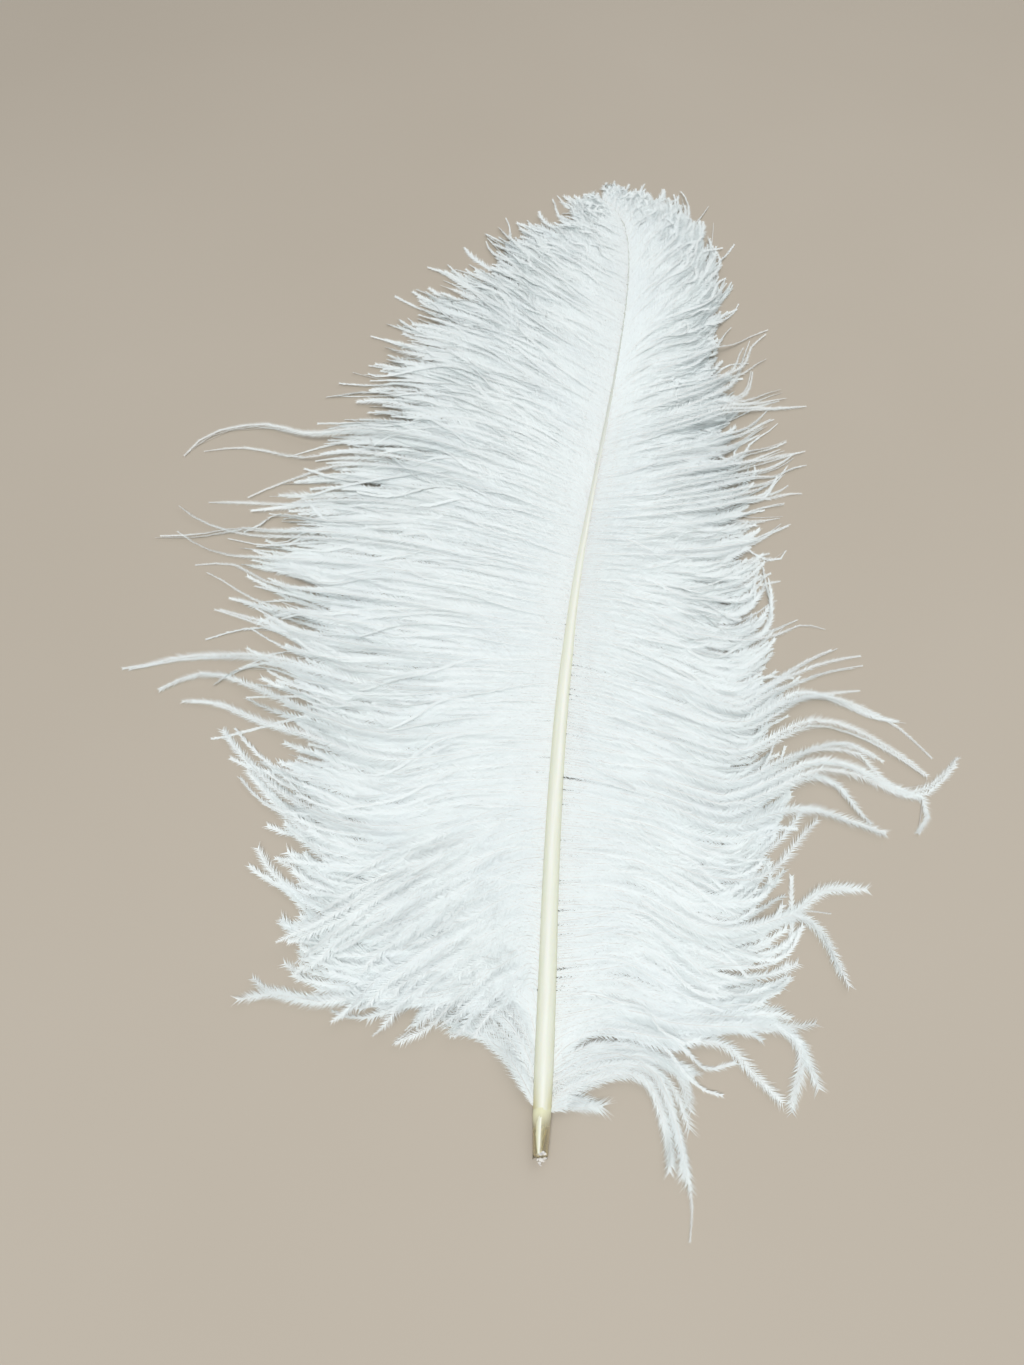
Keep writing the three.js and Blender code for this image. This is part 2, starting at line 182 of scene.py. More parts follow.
# Single locks that have slipped out of a vane or a tuft: how many barbs, and their way from
# where they leave it.
RIGHT_STRAYS = [
    (2, [(75, 60), (98, 62), (109, 53), (113, 44), (116, 33)]),
    (2, [(78, 60), (98, 61), (109, 53), (105, 38), (102, 25)]),
    (1, [(84, 61), (102, 61), (121, 65)]),
    (2, [(64, 51), (77, 50), (87, 40), (99, 29)]),
    (1, [(80, 74), (90, 75), (100, 77)]),
    (2, [(88, 82), (98, 84), (109, 90)]),
    (3, [(88, 100), (108, 111), (120, 123), (142, 126)]),
    (1, [(92, 103), (110, 112), (128, 112)]),
    (3, [(90, 103), (108, 111), (119, 105), (126, 90), (130, 80)]),
    (1, [(80, 135), (98, 144), (108, 155), (116, 166)]),
    (1, [(84, 122), (100, 131), (112, 147), (123, 159)]),
    (2, [(95, 156), (118, 162), (140, 157), (161, 151)]),
    (2, [(98, 166), (118, 180), (132, 178), (142, 163), (150, 156)]),
    (2, [(98, 172), (124, 187), (145, 185), (160, 176), (173, 176), (175, 167), (171, 157), (160, 152)]),
    (2, [(100, 172), (122, 186), (146, 184), (162, 175), (176, 178), (195, 200)]),
    (2, [(102, 182), (120, 196), (139, 201), (156, 191)]),
    (1, [(104, 186), (128, 196), (145, 194), (152, 182), (166, 175)]),
    (2, [(100, 198), (118, 210), (137, 209), (156, 200), (174, 186), (176, 175)]),
    (3, [(98, 208), (118, 225), (136, 223), (153, 215), (170, 214)]),
    (1, [(104, 214), (128, 224), (160, 214), (181, 193)]),
    (2, [(96, 222), (110, 236), (122, 246), (140, 257)]),
    (1, [(100, 228), (122, 243), (138, 249), (152, 252)]),
    (2, [(98, 224), (124, 239), (138, 243), (152, 246)]),
    (1, [(98, 216), (116, 226), (132, 230), (148, 232)]),
    (1, [(83, 253), (97, 259), (107, 264), (113, 269), (118, 271), (126, 270), (134, 267)]),
    (2, [(83, 254), (97, 260), (107, 265), (114, 270), (118, 272)]),
    (1, [(88, 262), (96, 268), (100, 273), (101, 277)]),
    (1, [(88, 272), (97, 276), (102, 281), (108, 284)]),
    (2, [(86, 281), (96, 285), (103, 288)]),
    (1, [(78, 280), (89, 289), (100, 293), (111, 296)]),
    (2, [(89, 291), (100, 296), (105, 300), (109, 302)]),
    (1, [(89, 294), (96, 298), (100, 303), (100, 307)]),
    (2, [(89, 302), (99, 306), (105, 309)]),
    (1, [(81, 298), (89, 304), (98, 311), (107, 314)]),
    (2, [(87, 312), (98, 321), (107, 329), (114, 338)]),
    (3, [(89, 316), (101, 325), (111, 331), (115, 334), (121, 336)]),
    (2, [(84, 332), (97, 335), (107, 338), (116, 341)]),
    (2, [(96, 343), (107, 347), (116, 350)]),
    (1, [(93, 348), (107, 352), (115, 356), (124, 357)]),
    (2, [(93, 352), (108, 357), (114, 361), (117, 364)]),
    (2, [(88, 355), (96, 360), (105, 364), (113, 370), (118, 375)]),
    (1, [(99, 359), (111, 369), (115, 375), (117, 380)]),
    (2, [(93, 363), (108, 367), (117, 375), (123, 377), (128, 379)]),
    (3, [(88, 366), (102, 373), (113, 379), (119, 385), (122, 388)]),
    (2, [(85, 369), (98, 377), (112, 384), (127, 389)]),
    (2, [(82, 365), (94, 377), (103, 383), (112, 389), (118, 391)]),
    (3, [(76, 365), (87, 378), (95, 385), (106, 389), (113, 394), (118, 398)]),
    (2, [(75, 378), (88, 391), (96, 397), (101, 401)]),
    (3, [(81, 384), (96, 399), (104, 406), (108, 410)]),
    (2, [(81, 392), (95, 403), (106, 412), (114, 415)]),
    (2, [(77, 392), (89, 401), (99, 411), (105, 419), (110, 426)]),
    (2, [(78, 407), (89, 413), (101, 419), (116, 422), (131, 425)]),
    (2, [(78, 414), (92, 421), (104, 426), (112, 429), (120, 431)]),
    (2, [(76, 419), (89, 422), (99, 428), (109, 434), (116, 437)]),
    (2, [(78, 422), (89, 429), (94, 436), (96, 445), (97, 453)]),
    (1, [(82, 441), (91, 448), (97, 454), (102, 459), (106, 462)]),
    (1, [(85, 453), (89, 467), (94, 475)]),
    (1, [(83, 442), (91, 454), (96, 472), (102, 479), (107, 484)]),
    (1, [(88, 437), (92, 452), (94, 465), (97, 477), (98, 484)]),
    (1, [(75, 464), (84, 470), (93, 479), (102, 486), (110, 491)]),
    (1, [(72, 540), (74, 560), (75, 594)]),
    (1, [(73, 528), (78, 543), (84, 555)]),
]
LEFT_STRAYS = [
    (2, [(-150, 218), (-170, 221), (-202, 219), (-217, 213), (-233, 209)]),
    (2, [(-138, 196), (-170, 209), (-187, 213), (-203, 206), (-215, 195)]),
    (2, [(-128, 179), (-156, 187), (-178, 195), (-197, 194)]),
    (2, [(-116, 137), (-138, 149), (-163, 170), (-178, 186)]),
    (2, [(-112, 126), (-132, 138), (-157, 160)]),
    (1, [(-104, 113), (-123, 127), (-132, 132), (-136, 127)]),
    (2, [(-96, 92), (-116, 99), (-132, 108), (-143, 121)]),
    (1, [(-100, 100), (-118, 110), (-137, 118)]),
    (2, [(-86, 69), (-102, 74), (-116, 82), (-130, 91)]),
    (1, [(-84, 58), (-102, 60), (-123, 69)]),
    (2, [(-84, 57), (-104, 54), (-122, 55), (-135, 63)]),
    (2, [(-82, 56), (-102, 53), (-118, 56), (-136, 51)]),
    (1, [(-60, 55), (-70, 52), (-81, 47)]),
    (2, [(-44, 63), (-52, 53), (-58, 44)]),
    (1, [(-52, 60), (-62, 56), (-72, 51)]),
    (1, [(-38, 64), (-46, 56), (-54, 49)]),
    (2, [(-155, 240), (-176, 246), (-196, 251)]),
    (1, [(-170, 256), (-186, 264), (-200, 272), (-211, 269)]),
    (1, [(-165, 268), (-190, 281), (-211, 278)]),
    (2, [(-175, 300), (-190, 304), (-217, 296), (-239, 294)]),
    (1, [(-168, 283), (-200, 285), (-220, 293), (-233, 304)]),
    (1, [(-180, 298), (-207, 303), (-222, 310), (-234, 321)]),
    (1, [(-165, 322), (-195, 322), (-222, 320)]),
    (1, [(-150, 350), (-178, 336), (-196, 322)]),
    (2, [(-165, 372), (-195, 382), (-225, 372), (-236, 353)]),
    (1, [(-160, 358), (-195, 364), (-220, 360), (-236, 353)]),
]
# Barbs near the base that droop over the rest of the left vane: rows like those above.
LEFT_DRAPE = [
    (66, [(-9, 68), (-18, 60), (-27, 50), (-34, 41)]),
    (80, [(-12, 82), (-27, 71), (-39, 58), (-48, 46)]),
    (96, [(-16, 97), (-37, 82), (-54, 66), (-66, 50)]),
    (114, [(-21, 111), (-48, 94), (-69, 76), (-86, 59)]),
    (134, [(-25, 128), (-57, 108), (-84, 91), (-107, 74)]),
    (154, [(-29, 147), (-66, 128), (-98, 113), (-124, 100)]),
]
LEFT_DRAPE_COUNT = 120
RIGHT_DOWN_STRAYS = [
    (1, [(48, 36), (56, 19), (60, 4), (62, -6), (63, -15), (62, -26)]),
    (1, [(30, 48), (39, 51), (45, 49), (53, 43)]),
]
LEFT_DOWN_STRAYS = [
    (2, [(-33, 74), (-44, 62), (-54, 51), (-68, 36)]),
    (1, [(-36, 70), (-48, 58), (-62, 45)]),
    (1, [(-28, 66), (-38, 55), (-44, 42)]),
    (1, [(-22, 58), (-30, 50), (-40, 46)]),
    (1, [(-18, 56), (-24, 49), (-30, 47)]),
]

# ---- how the barbs grow -------------------------------------------------------------------------

BARB_POINTS = 20  # points along one barb
CURVE_STEPS = 12  # points from one control point of a smooth line to the next
BARB_SPACING = 0.66  # mean distance between two barbs on the shaft
ROOT_JITTER = (0.25, 0.75)  # where in its share of the shaft a barb grows
FAN_LIMITS = (0.75, 2.0)  # least and most crowding of the roots where the barbs fan out
FAN_STATIONS = 200  # places along the shaft at which the fanning is measured

LOCK_BARBS = (2, 7)  # neighbouring barbs that cling together: at least, and fewer than
STRAND_BARBS = (8, 18)  # the same for the wide strands that the locks lie in
LOCK_FREE_SHARE = 0.15  # barbs that stay out of their lock
LOCK_HOLD = (0.6, 1)  # how firmly one lock holds, as a share of its layer's cling
LOCK_START_SHIFT = (-0.1, 0.15)  # how much sooner or later than the others it starts
LOCK_LENGTHS = (0.83, 1.06)  # its length over that of the vane
LOCK_TAPER = 0.16  # how much shorter its outermost barbs are
LOCK_BEND = 4.5  # how far a firmly clinging lock swings sideways
STRAND_BEND = 3.5  # and a strand
STRAND_CLING = 0.2  # how firmly strands hold, as a share of their locks

DRIFT_WAVES = 6  # random waves over the floor plan that add up to the drift
DRIFT_WAVE_LENGTHS = (45, 130)
DRIFT_SPREAD = (0.6, 1.0)  # across and along
DRIFT_START = 0.3  # share of a barb's length where it starts
WANDER = 1.4  # sideways waves of a single barb,
DRIFT_WANDER = 0.28  # and how much wider they are for each millimetre of drift

STRAY_STATIONS = 240  # places along the shaft that a stray lock may grow from
STRAY_FOLLOWS = 8  # points at least that it follows the vane before it leaves
STRAY_BEND = 14  # clear length in which it turns out of the vane
STRAY_SPREAD = 1.3  # of the barbs of one stray lock
STRAY_CLOSING = 0.25  # how much of that is left at their tips

BARB_CROWN = 7.0  # height of a barb's arch over a straight slope from the shaft to the floor
BARB_LANDING = 0.86  # share of its length at which it reaches the floor
ARCHED_REACH = 90  # a barb of this length has the whole crown
ARCH_LIMITS = (0.25, 1.1)  # least and most of it, for shorter and longer barbs
TIP_LIFT = 3  # most that the tip of a barb is lifted
LAYER_SPREAD = 0.25  # of the heights in one layer
FLOOR_CLEARANCE = 0.5  # least height of a barb, and
FLOOR_CLEARANCE_SPREAD = 1.2  # the most that is added to it

# Along the shaft: [along, value]. A barb grows beside and over the shaft's middle, at these
# shares of the shaft's width.
ROOT_INSET = [[0, 0.44], [200, 0.42], [330, 0.3], [SHAFT_LENGTH, 0.25]]
ROOT_RISE = [[0, 0], [200, 0.1], [330, 0.36], [SHAFT_LENGTH, 0.4]]
CALM = [[330, 1], [450, 0.45]]  # near the tip barbs drift and lean less,
FIRM = [[330, 1], [450, 0.5]]  # cling less
FULLER = [[330, 1], [450, 1.1]]  # and have longer barbules
POINTED = [[120, 0.3], [260, 1]]  # near the quill barbs are fluffy to their ends
STRAY_THINNING = [[0, -0.15], [150, -0.05], [240, 0.5], [SHAFT_LENGTH, 0.7]]

# The layers of a vane, from the calm lowest one to a few locks that lie loose on top.
#   share: of the vane's barbs            level: height over the middle of the vane
#   lean: spread of their slant           drift: how far they stray from their neighbours
#   cling: how firmly locks hold          cling_from: share of their length where that starts
#   reach: length over the vane's width   shortest: the shortest barbs' share of that
#   fluff: length of their barbules
VANE_LAYERS = [
    {"share": 0.53, "level": -0.2, "lean": 0.015, "drift": 2.5, "cling": 0.7, "cling_from": 0.82,
     "reach": 0.93, "shortest": 0.92, "fluff": 1.0},
    {"share": 0.20, "level": 0.1, "lean": 0.045, "drift": 6.5, "cling": 0.75, "cling_from": 0.72,
     "reach": 1.0, "shortest": 0.74, "fluff": 0.85},
    {"share": 0.18, "level": 0.4, "lean": 0.10, "drift": 13.0, "cling": 0.8, "cling_from": 0.66,
     "reach": 1.04, "shortest": 0.62, "fluff": 0.7},
    {"share": 0.09, "level": 1.0, "lean": 0.18, "drift": 14.0, "cling": 0.75, "cling_from": 0.62,
     "reach": 1.06, "shortest": 0.5, "fluff": 0.5},
]
LONGEST_BARB = 1.04  # over the reach of its layer
VANE_CUTS = (0.36, 0.66)  # shares of a vane's barbs below its middle and its upper mesh

BARBULE_SPACING = 0.58
BARBULE_WIDTH = 0.58
LOOSE_BARBULE_WIDTH = 0.4
DOWN_BARBULE_WIDTH = 0.3
BARBULE_LEAN = 54  # degrees towards the barb's tip, from square to it
LOOSE_BARBULE_LEAN = 47
BARBULE_LEAN_SPREAD = 12.0  # degrees
BARBULE_LIFT = (-16.0, 22.0)  # degrees out of the barb's flat
BARBULE_LIFT_SHARE = 0.6  # how much of that lift is left beside the lean
BARBULE_LENGTHS = (0.7, 1.15)  # of one barbule, over its barb's
ROOT_BARBULE = 2.4  # length of the barbules beside the shaft
BARBULE_GAIN = 2.5  # and how much longer they grow further out
TIP_THINNING = (0.45, 0.85)  # how much shorter they are at the tip of a barb
BARE_TIPS = 0.05  # share of barbs that have lost most barbules at their tips
BARE_LOSS = 0.8
STEM_RADIUS = 0.17
ROOT_STEM = 1.4  # stem's radius at the root of a barb, over STEM_RADIUS
STEM_TAPER = 0.9  # and how much less it is at the tip
STEM_POINTS = 12
STEM_SIDES = 3
LOWEST_POINT = 0.1  # nothing reaches lower

# ---- shaft's marks, quill and pulp --------------------------------------------------------------

HORN_LENGTH = 20  # the quill is clear horn for this far
CORE_END = 1  # where the white core ends inside it
HORN_STEP = 0.5  # between the core's rings in the horn
SHAFT_STEP = 2.5  # and above it
LEAST_RADIUS = 0.15
# Painted highlight: a whiter streak painted along the rounded shaft where light catches it. Below: where
# it lies across the shaft, how strong it is along the shaft, and how wide it is.
PAINTED_HIGHLIGHT_PLACE = [[0, -0.1], [150, -0.1], [165, 0.3], [SHAFT_LENGTH, 0.35]]  # of the half width
PAINTED_HIGHLIGHT_STRENGTH = [[0, 0.2], [40, 0.6], [150, 0.7], [162, 0.9], [330, 0.7], [420, 0.1]]
PAINTED_HIGHLIGHT_WIDTH = 0.22
UPPER_SHAFT = (230, 430)  # over this stretch the shaft turns greyer
HORNY_SHAFT = (14, 34)  # and over this one from horn to cream

TUBE_STATIONS = np.array([0, 1, 2.5, 5, 8, 10, 12, 14, 15.5, 17, 18.5, HORN_LENGTH])
TUBE_SUNK = [[0, -0.01], [17, -0.01], [18.5, 0.0], [HORN_LENGTH, 0.3]]  # under the shaft's skin
TUBE_WALL = [[0, 0.3], [11, 0.45], [15, 0.4], [17, 0.15], [HORN_LENGTH, 0.1]]
TUBE_SLANT = 1.4  # how far its upper end slants from side to side
TUBE_SLANT_STRETCH = (8, 17)
TUBE_FADE = (9, 18)  # over this stretch the horn turns from clear to pale
TUBE_CLEARNESS = 0.85
TORN_EDGE = 0.5  # spread of the quill's torn end

FLAKES = 12
FLAKE_ROWS = 7
FLAKE_COLUMNS = 4
FLAKE_THICKNESS = 0.1
FLAKE_LENGTHS = (1.6, 3.4)
FLAKE_WIDTHS = (0.9, 1.9)
FLAKE_MIDDLE = (-1.0, 0.4, 1.5)  # of the bundle, from the end of the quill
FLAKE_TEAR = 0.12  # spread of its points
FLAKE_LOWEST = 0.3

# ---- colours ------------------------------------------------------------------------------------

WHITE = (1, 1, 1)
STEM_BRIGHT = (0.90, 0.90, 0.88)
STEM_DULL = (0.84, 0.84, 0.82)
BARBULE_BRIGHT = (0.915, 0.965, 0.965)
BARBULE_DULL = (0.885, 0.94, 0.95)
SHAFT_CREAM = (0.79, 0.82, 0.73)
SHAFT_FLANK = (0.79, 0.82, 0.69)
SHAFT_EDGE = (0.78, 0.80, 0.62)
SHAFT_GREY = (0.62, 0.66, 0.61)
SHAFT_HORN = (0.62, 0.56, 0.28)
# colour of the painted highlight streak on the shaft
SHAFT_PAINTED_HIGHLIGHT = (0.86, 0.87, 0.82)
SHAFT_GRAIN = (0.6, 0.57, 0.4)
HORN_AMBER = (0.92, 0.83, 0.58)
HORN_PALE_AMBER = (0.96, 0.90, 0.72)
HORN_WHITENED = (0.76, 0.76, 0.52)
HORN_DEPTH = (0.90, 0.68, 0.30)
PULP_DULL = (0.88, 0.86, 0.81)
PULP_BRIGHT = (0.96, 0.95, 0.93)
FLOOR_DULL = (0.45, 0.40, 0.33)
FLOOR_BRIGHT = (0.47, 0.42, 0.35)

# ---- studio -------------------------------------------------------------------------------------

FLOOR_SIZE = 40  # metres
CAMERA_PLACE = (-8.33, -35.57, 460)  # across, along and height
CAMERA_HEADING = 5.05  # degrees left of the feather's axis
CAMERA_TILT = 60.8  # degrees down
CAMERA_SENSOR = 36
CAMERA_LENS = 27.03
WORLD_STRENGTH = 0.38


# ---- helpers ----------------------------------------------------------------------------------

UP = np.array([0.0, 0.0, 1.0])
LEFT = -1
RIGHT = 1


def smooth_value(pairs, at):
    """A smooth curve through (along, value) pairs, at the given places."""
    keys, values = np.array(pairs, float).T
    slopes = np.gradient(values, keys)
    i = np.clip(np.searchsorted(keys, at, side="right") - 1, 0, len(keys) - 2)
    step = keys[i + 1] - keys[i]
    t = (np.clip(at, keys[0], keys[-1]) - keys[i]) / step
    rise = values[i + 1] - values[i]
    start, end = slopes[i] * step, slopes[i + 1] * step
    return (values[i] + t * start + t**2 * (3 * rise - 2 * start - end)
            + t**3 * (start + end - 2 * rise))


def line_value(pairs, at):
    """Straight lines through (along, value) pairs, at the given places."""
    keys, values = np.array(pairs, float).T
    return np.interp(at, keys, values)


def smooth_step(x, low=0.0, high=1.0):
    t = np.clip((x - low) / (high - low), 0, 1)
    return t * t * (3 - 2 * t)


def smooth_line(controls, count):
    """Points spaced evenly along a smooth curve through the control points."""
    p = np.asarray(controls, float)
    padded = np.vstack([2 * p[0] - p[1], p, 2 * p[-1] - p[-2]])
    t = np.linspace(0, 1, CURVE_STEPS, endpoint=False)[:, None]
    fine = [
        0.5 * (2 * b + (c - a) * t + (2 * a - 5 * b + 4 * c - d) * t**2
               + (3 * b - a - 3 * c + d) * t**3)
        for a, b, c, d in zip(padded, padded[1:], padded[2:], padded[3:])
    ]
    fine = np.vstack([*fine, p[-1:]])
    gone = np.r_[0, np.cumsum(np.linalg.norm(np.diff(fine, axis=0), axis=1))]
    even = np.linspace(0, gone[-1], count)
    return np.column_stack([np.interp(even, gone, column) for column in fine.T])


def shaft_centre(along):
    """Points on the shaft's middle line."""
    along = np.asarray(along, float)
    return np.stack(
        [smooth_value(SHAFT_ACROSS, along), along, smooth_value(SHAFT_HEIGHT, along)], axis=-1
    )


def place(points):
    """Millimetres from the quill to metres in the shared frame."""
    return (np.asarray(points, float) + (QUILL_X, QUILL_Y, 0)) * MM


def unit(vectors):
    return vectors / np.maximum(np.linalg.norm(vectors, axis=-1, keepdims=True), 1e-9)


def add_object(name, mesh, *materials):
    piece = bpy.data.objects.new(name, mesh)
    bpy.context.scene.collection.objects.link(piece)
    for material in materials:
        mesh.materials.append(material)
    return piece


def mark_points(mesh, **marks):
    """Stores numbers for each point of a mesh, for its material or for growing its barbs."""
    for name, values in marks.items():
        mesh.attributes.new(name, "FLOAT", "POINT").data.foreach_set("value", values)


def finish_piece(piece, node):
    """Puts a finished piece on the root body and hides the part that it stands for."""
    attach(piece, "root")
    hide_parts(node)


# ---- materials --------------------------------------------------------------------------------

class Nodes:
    """A short way to write a material's node tree."""

    def __init__(self, name):
        self.material = bpy.data.materials.new(name)
        self.material.use_nodes = True
        self.tree = self.material.node_tree
        self.shader = self.tree.nodes["Principled BSDF"]
        self.output = self.tree.nodes["Material Output"]

    def add(self, kind, **settings):
        node = self.tree.nodes.new(kind)
        for key, value in settings.items():
            setattr(node, key, value)
        return node

    def link(self, source, target):
        self.tree.links.new(source, target)

    def color(self, source):
        self.link(source, self.shader.inputs["Base Color"])

    def set(self, **values):
        for key, value in values.items():
            self.shader.inputs[key.replace("_", " ")].default_value = value

    def noise(self, scale, stretch=(1, 1, 1), detail=3.0):
        where = self.add("ShaderNodeTexCoord").outputs["Object"]
        mapping = self.add("ShaderNodeMapping")
        mapping.inputs["Scale"].default_value = stretch
        noise = self.add("ShaderNodeTexNoise")
        noise.inputs["Scale"].default_value = scale
        noise.inputs["Detail"].default_value = detail
        self.link(where, mapping.inputs["Vector"])
        self.link(mapping.outputs[0], noise.inputs["Vector"])
        return noise.outputs["Fac"]

    def attribute(self, name):
        return self.add("ShaderNodeAttribute", attribute_name=name).outputs["Fac"]

    def ramp(self, factor, *stops):
        ramp = self.add("ShaderNodeValToRGB")
        elements = ramp.color_ramp.elements
        while len(elements) < len(stops):
            elements.new(0.5)
        for element, (position, color) in zip(elements, stops):
            element.position = position
            element.color = (*color, 1)
        self.link(factor, ramp.inputs["Fac"])
        return ramp.outputs["Color"]

    def mix(self, factor, first, second, blend="MIX"):
        mix = self.add("ShaderNodeMix", data_type="RGBA", blend_type=blend)
        color_sockets = [socket for socket in mix.inputs if socket.type == "RGBA"]
        for socket, value in zip((mix.inputs[0], *color_sockets), (factor, first, second)):
            if isinstance(value, bpy.types.NodeSocket):
                self.link(value, socket)
            elif isinstance(value, tuple):
                socket.default_value = (*value, 1)
            else:
                socket.default_value = value
        return next(socket for socket in mix.outputs if socket.type == "RGBA")

    def bump(self, height, strength, distance):
        bump = self.add("ShaderNodeBump")
        bump.inputs["Strength"].default_value = strength
        bump.inputs["Distance"].default_value = distance
        self.link(height, bump.inputs["Height"])
        self.link(bump.outputs["Normal"], self.shader.inputs["Normal"])


def barb_material(name, bright, dull, see_through):
    """Soft white fibre: a little light passes through, and the white varies from lock to lock."""
    nodes = Nodes(name)
    patches = nodes.ramp(nodes.noise(scale=30, detail=4), (0.35, dull), (0.6, bright))
    color = nodes.mix(nodes.attribute("shade"), patches, bright)
    nodes.color(color)
    nodes.set(Roughness=0.75, Specular_IOR_Level=0.25)
    passing = nodes.add("ShaderNodeBsdfTranslucent")
    nodes.link(color, passing.inputs["Color"])
    both = nodes.add("ShaderNodeMixShader")
    both.inputs["Fac"].default_value = see_through
    nodes.link(nodes.shader.outputs[0], both.inputs[1])
    nodes.link(passing.outputs[0], both.inputs[2])
    nodes.link(both.outputs[0], nodes.output.inputs["Surface"])
    return nodes.material


def shaft_material():
    """Pale keratin: cream, yellower towards both edges, with a long whiter streak that is a painted
    highlight.
    """
    nodes = Nodes("shaft_keratin")
    streak = nodes.attribute("streak")
    edge = nodes.attribute("edge")
    base = nodes.ramp(edge, (0.0, SHAFT_CREAM), (0.55, SHAFT_FLANK), (1.0, SHAFT_EDGE))
    base = nodes.mix(nodes.attribute("upper"), base, SHAFT_GREY)
    base = nodes.mix(nodes.attribute("horny"), base, SHAFT_HORN)
    # painted highlight: a whiter streak where light catches the rounded shaft
    base = nodes.mix(streak, base, SHAFT_PAINTED_HIGHLIGHT)
    grain = nodes.noise(scale=900, stretch=(1, 0.04, 1))
    base = nodes.mix(0.12, base, nodes.ramp(grain, (0.3, SHAFT_GRAIN), (0.7, WHITE)), "MULTIPLY")
    nodes.color(base)
    nodes.set(Roughness=0.34, Subsurface_Weight=0.15, Subsurface_Radius=(0.002, 0.0015, 0.0008))
    nodes.bump(grain, strength=0.15, distance=0.0002)
    return nodes.material


def clear_horn_material():
    """See-through amber horn that turns pale and solid where the marks say so."""
    nodes = Nodes("clear_horn")
    cloud = nodes.noise(scale=300, stretch=(1, 0.2, 1))
    tint = nodes.ramp(cloud, (0.3, HORN_AMBER), (0.7, HORN_PALE_AMBER))
    clear = nodes.attribute("clear")
    nodes.color(nodes.mix(clear, HORN_WHITENED, tint))
    nodes.set(Roughness=0.2, IOR=1.54)
    nodes.link(clear, nodes.shader.inputs["Transmission Weight"])
    amber = nodes.add("ShaderNodeVolumeAbsorption")
    amber.inputs["Color"].default_value = (*HORN_DEPTH, 1)
    amber.inputs["Density"].default_value = 260
    nodes.link(amber.outputs[0], nodes.output.inputs["Volume"])
    return nodes.material


def pulp_material():
    """Dry papery membrane with a crumpled surface."""
    nodes = Nodes("dried_pulp")
    nodes.color(nodes.ramp(nodes.noise(scale=700), (0.35, PULP_DULL), (0.65, PULP_BRIGHT)))
    nodes.set(Roughness=0.8)
    nodes.bump(nodes.noise(scale=1500), strength=0.4, distance=0.0002)
    return nodes.material


def floor_material():
    nodes = Nodes("pale_floor")
    nodes.color(nodes.ramp(nodes.noise(scale=3), (0.3, FLOOR_DULL), (0.7, FLOOR_BRIGHT)))
    nodes.set(Roughness=0.7)
    return nodes.material


# ---- growing barbs with geometry nodes ----------------------------------------------------------

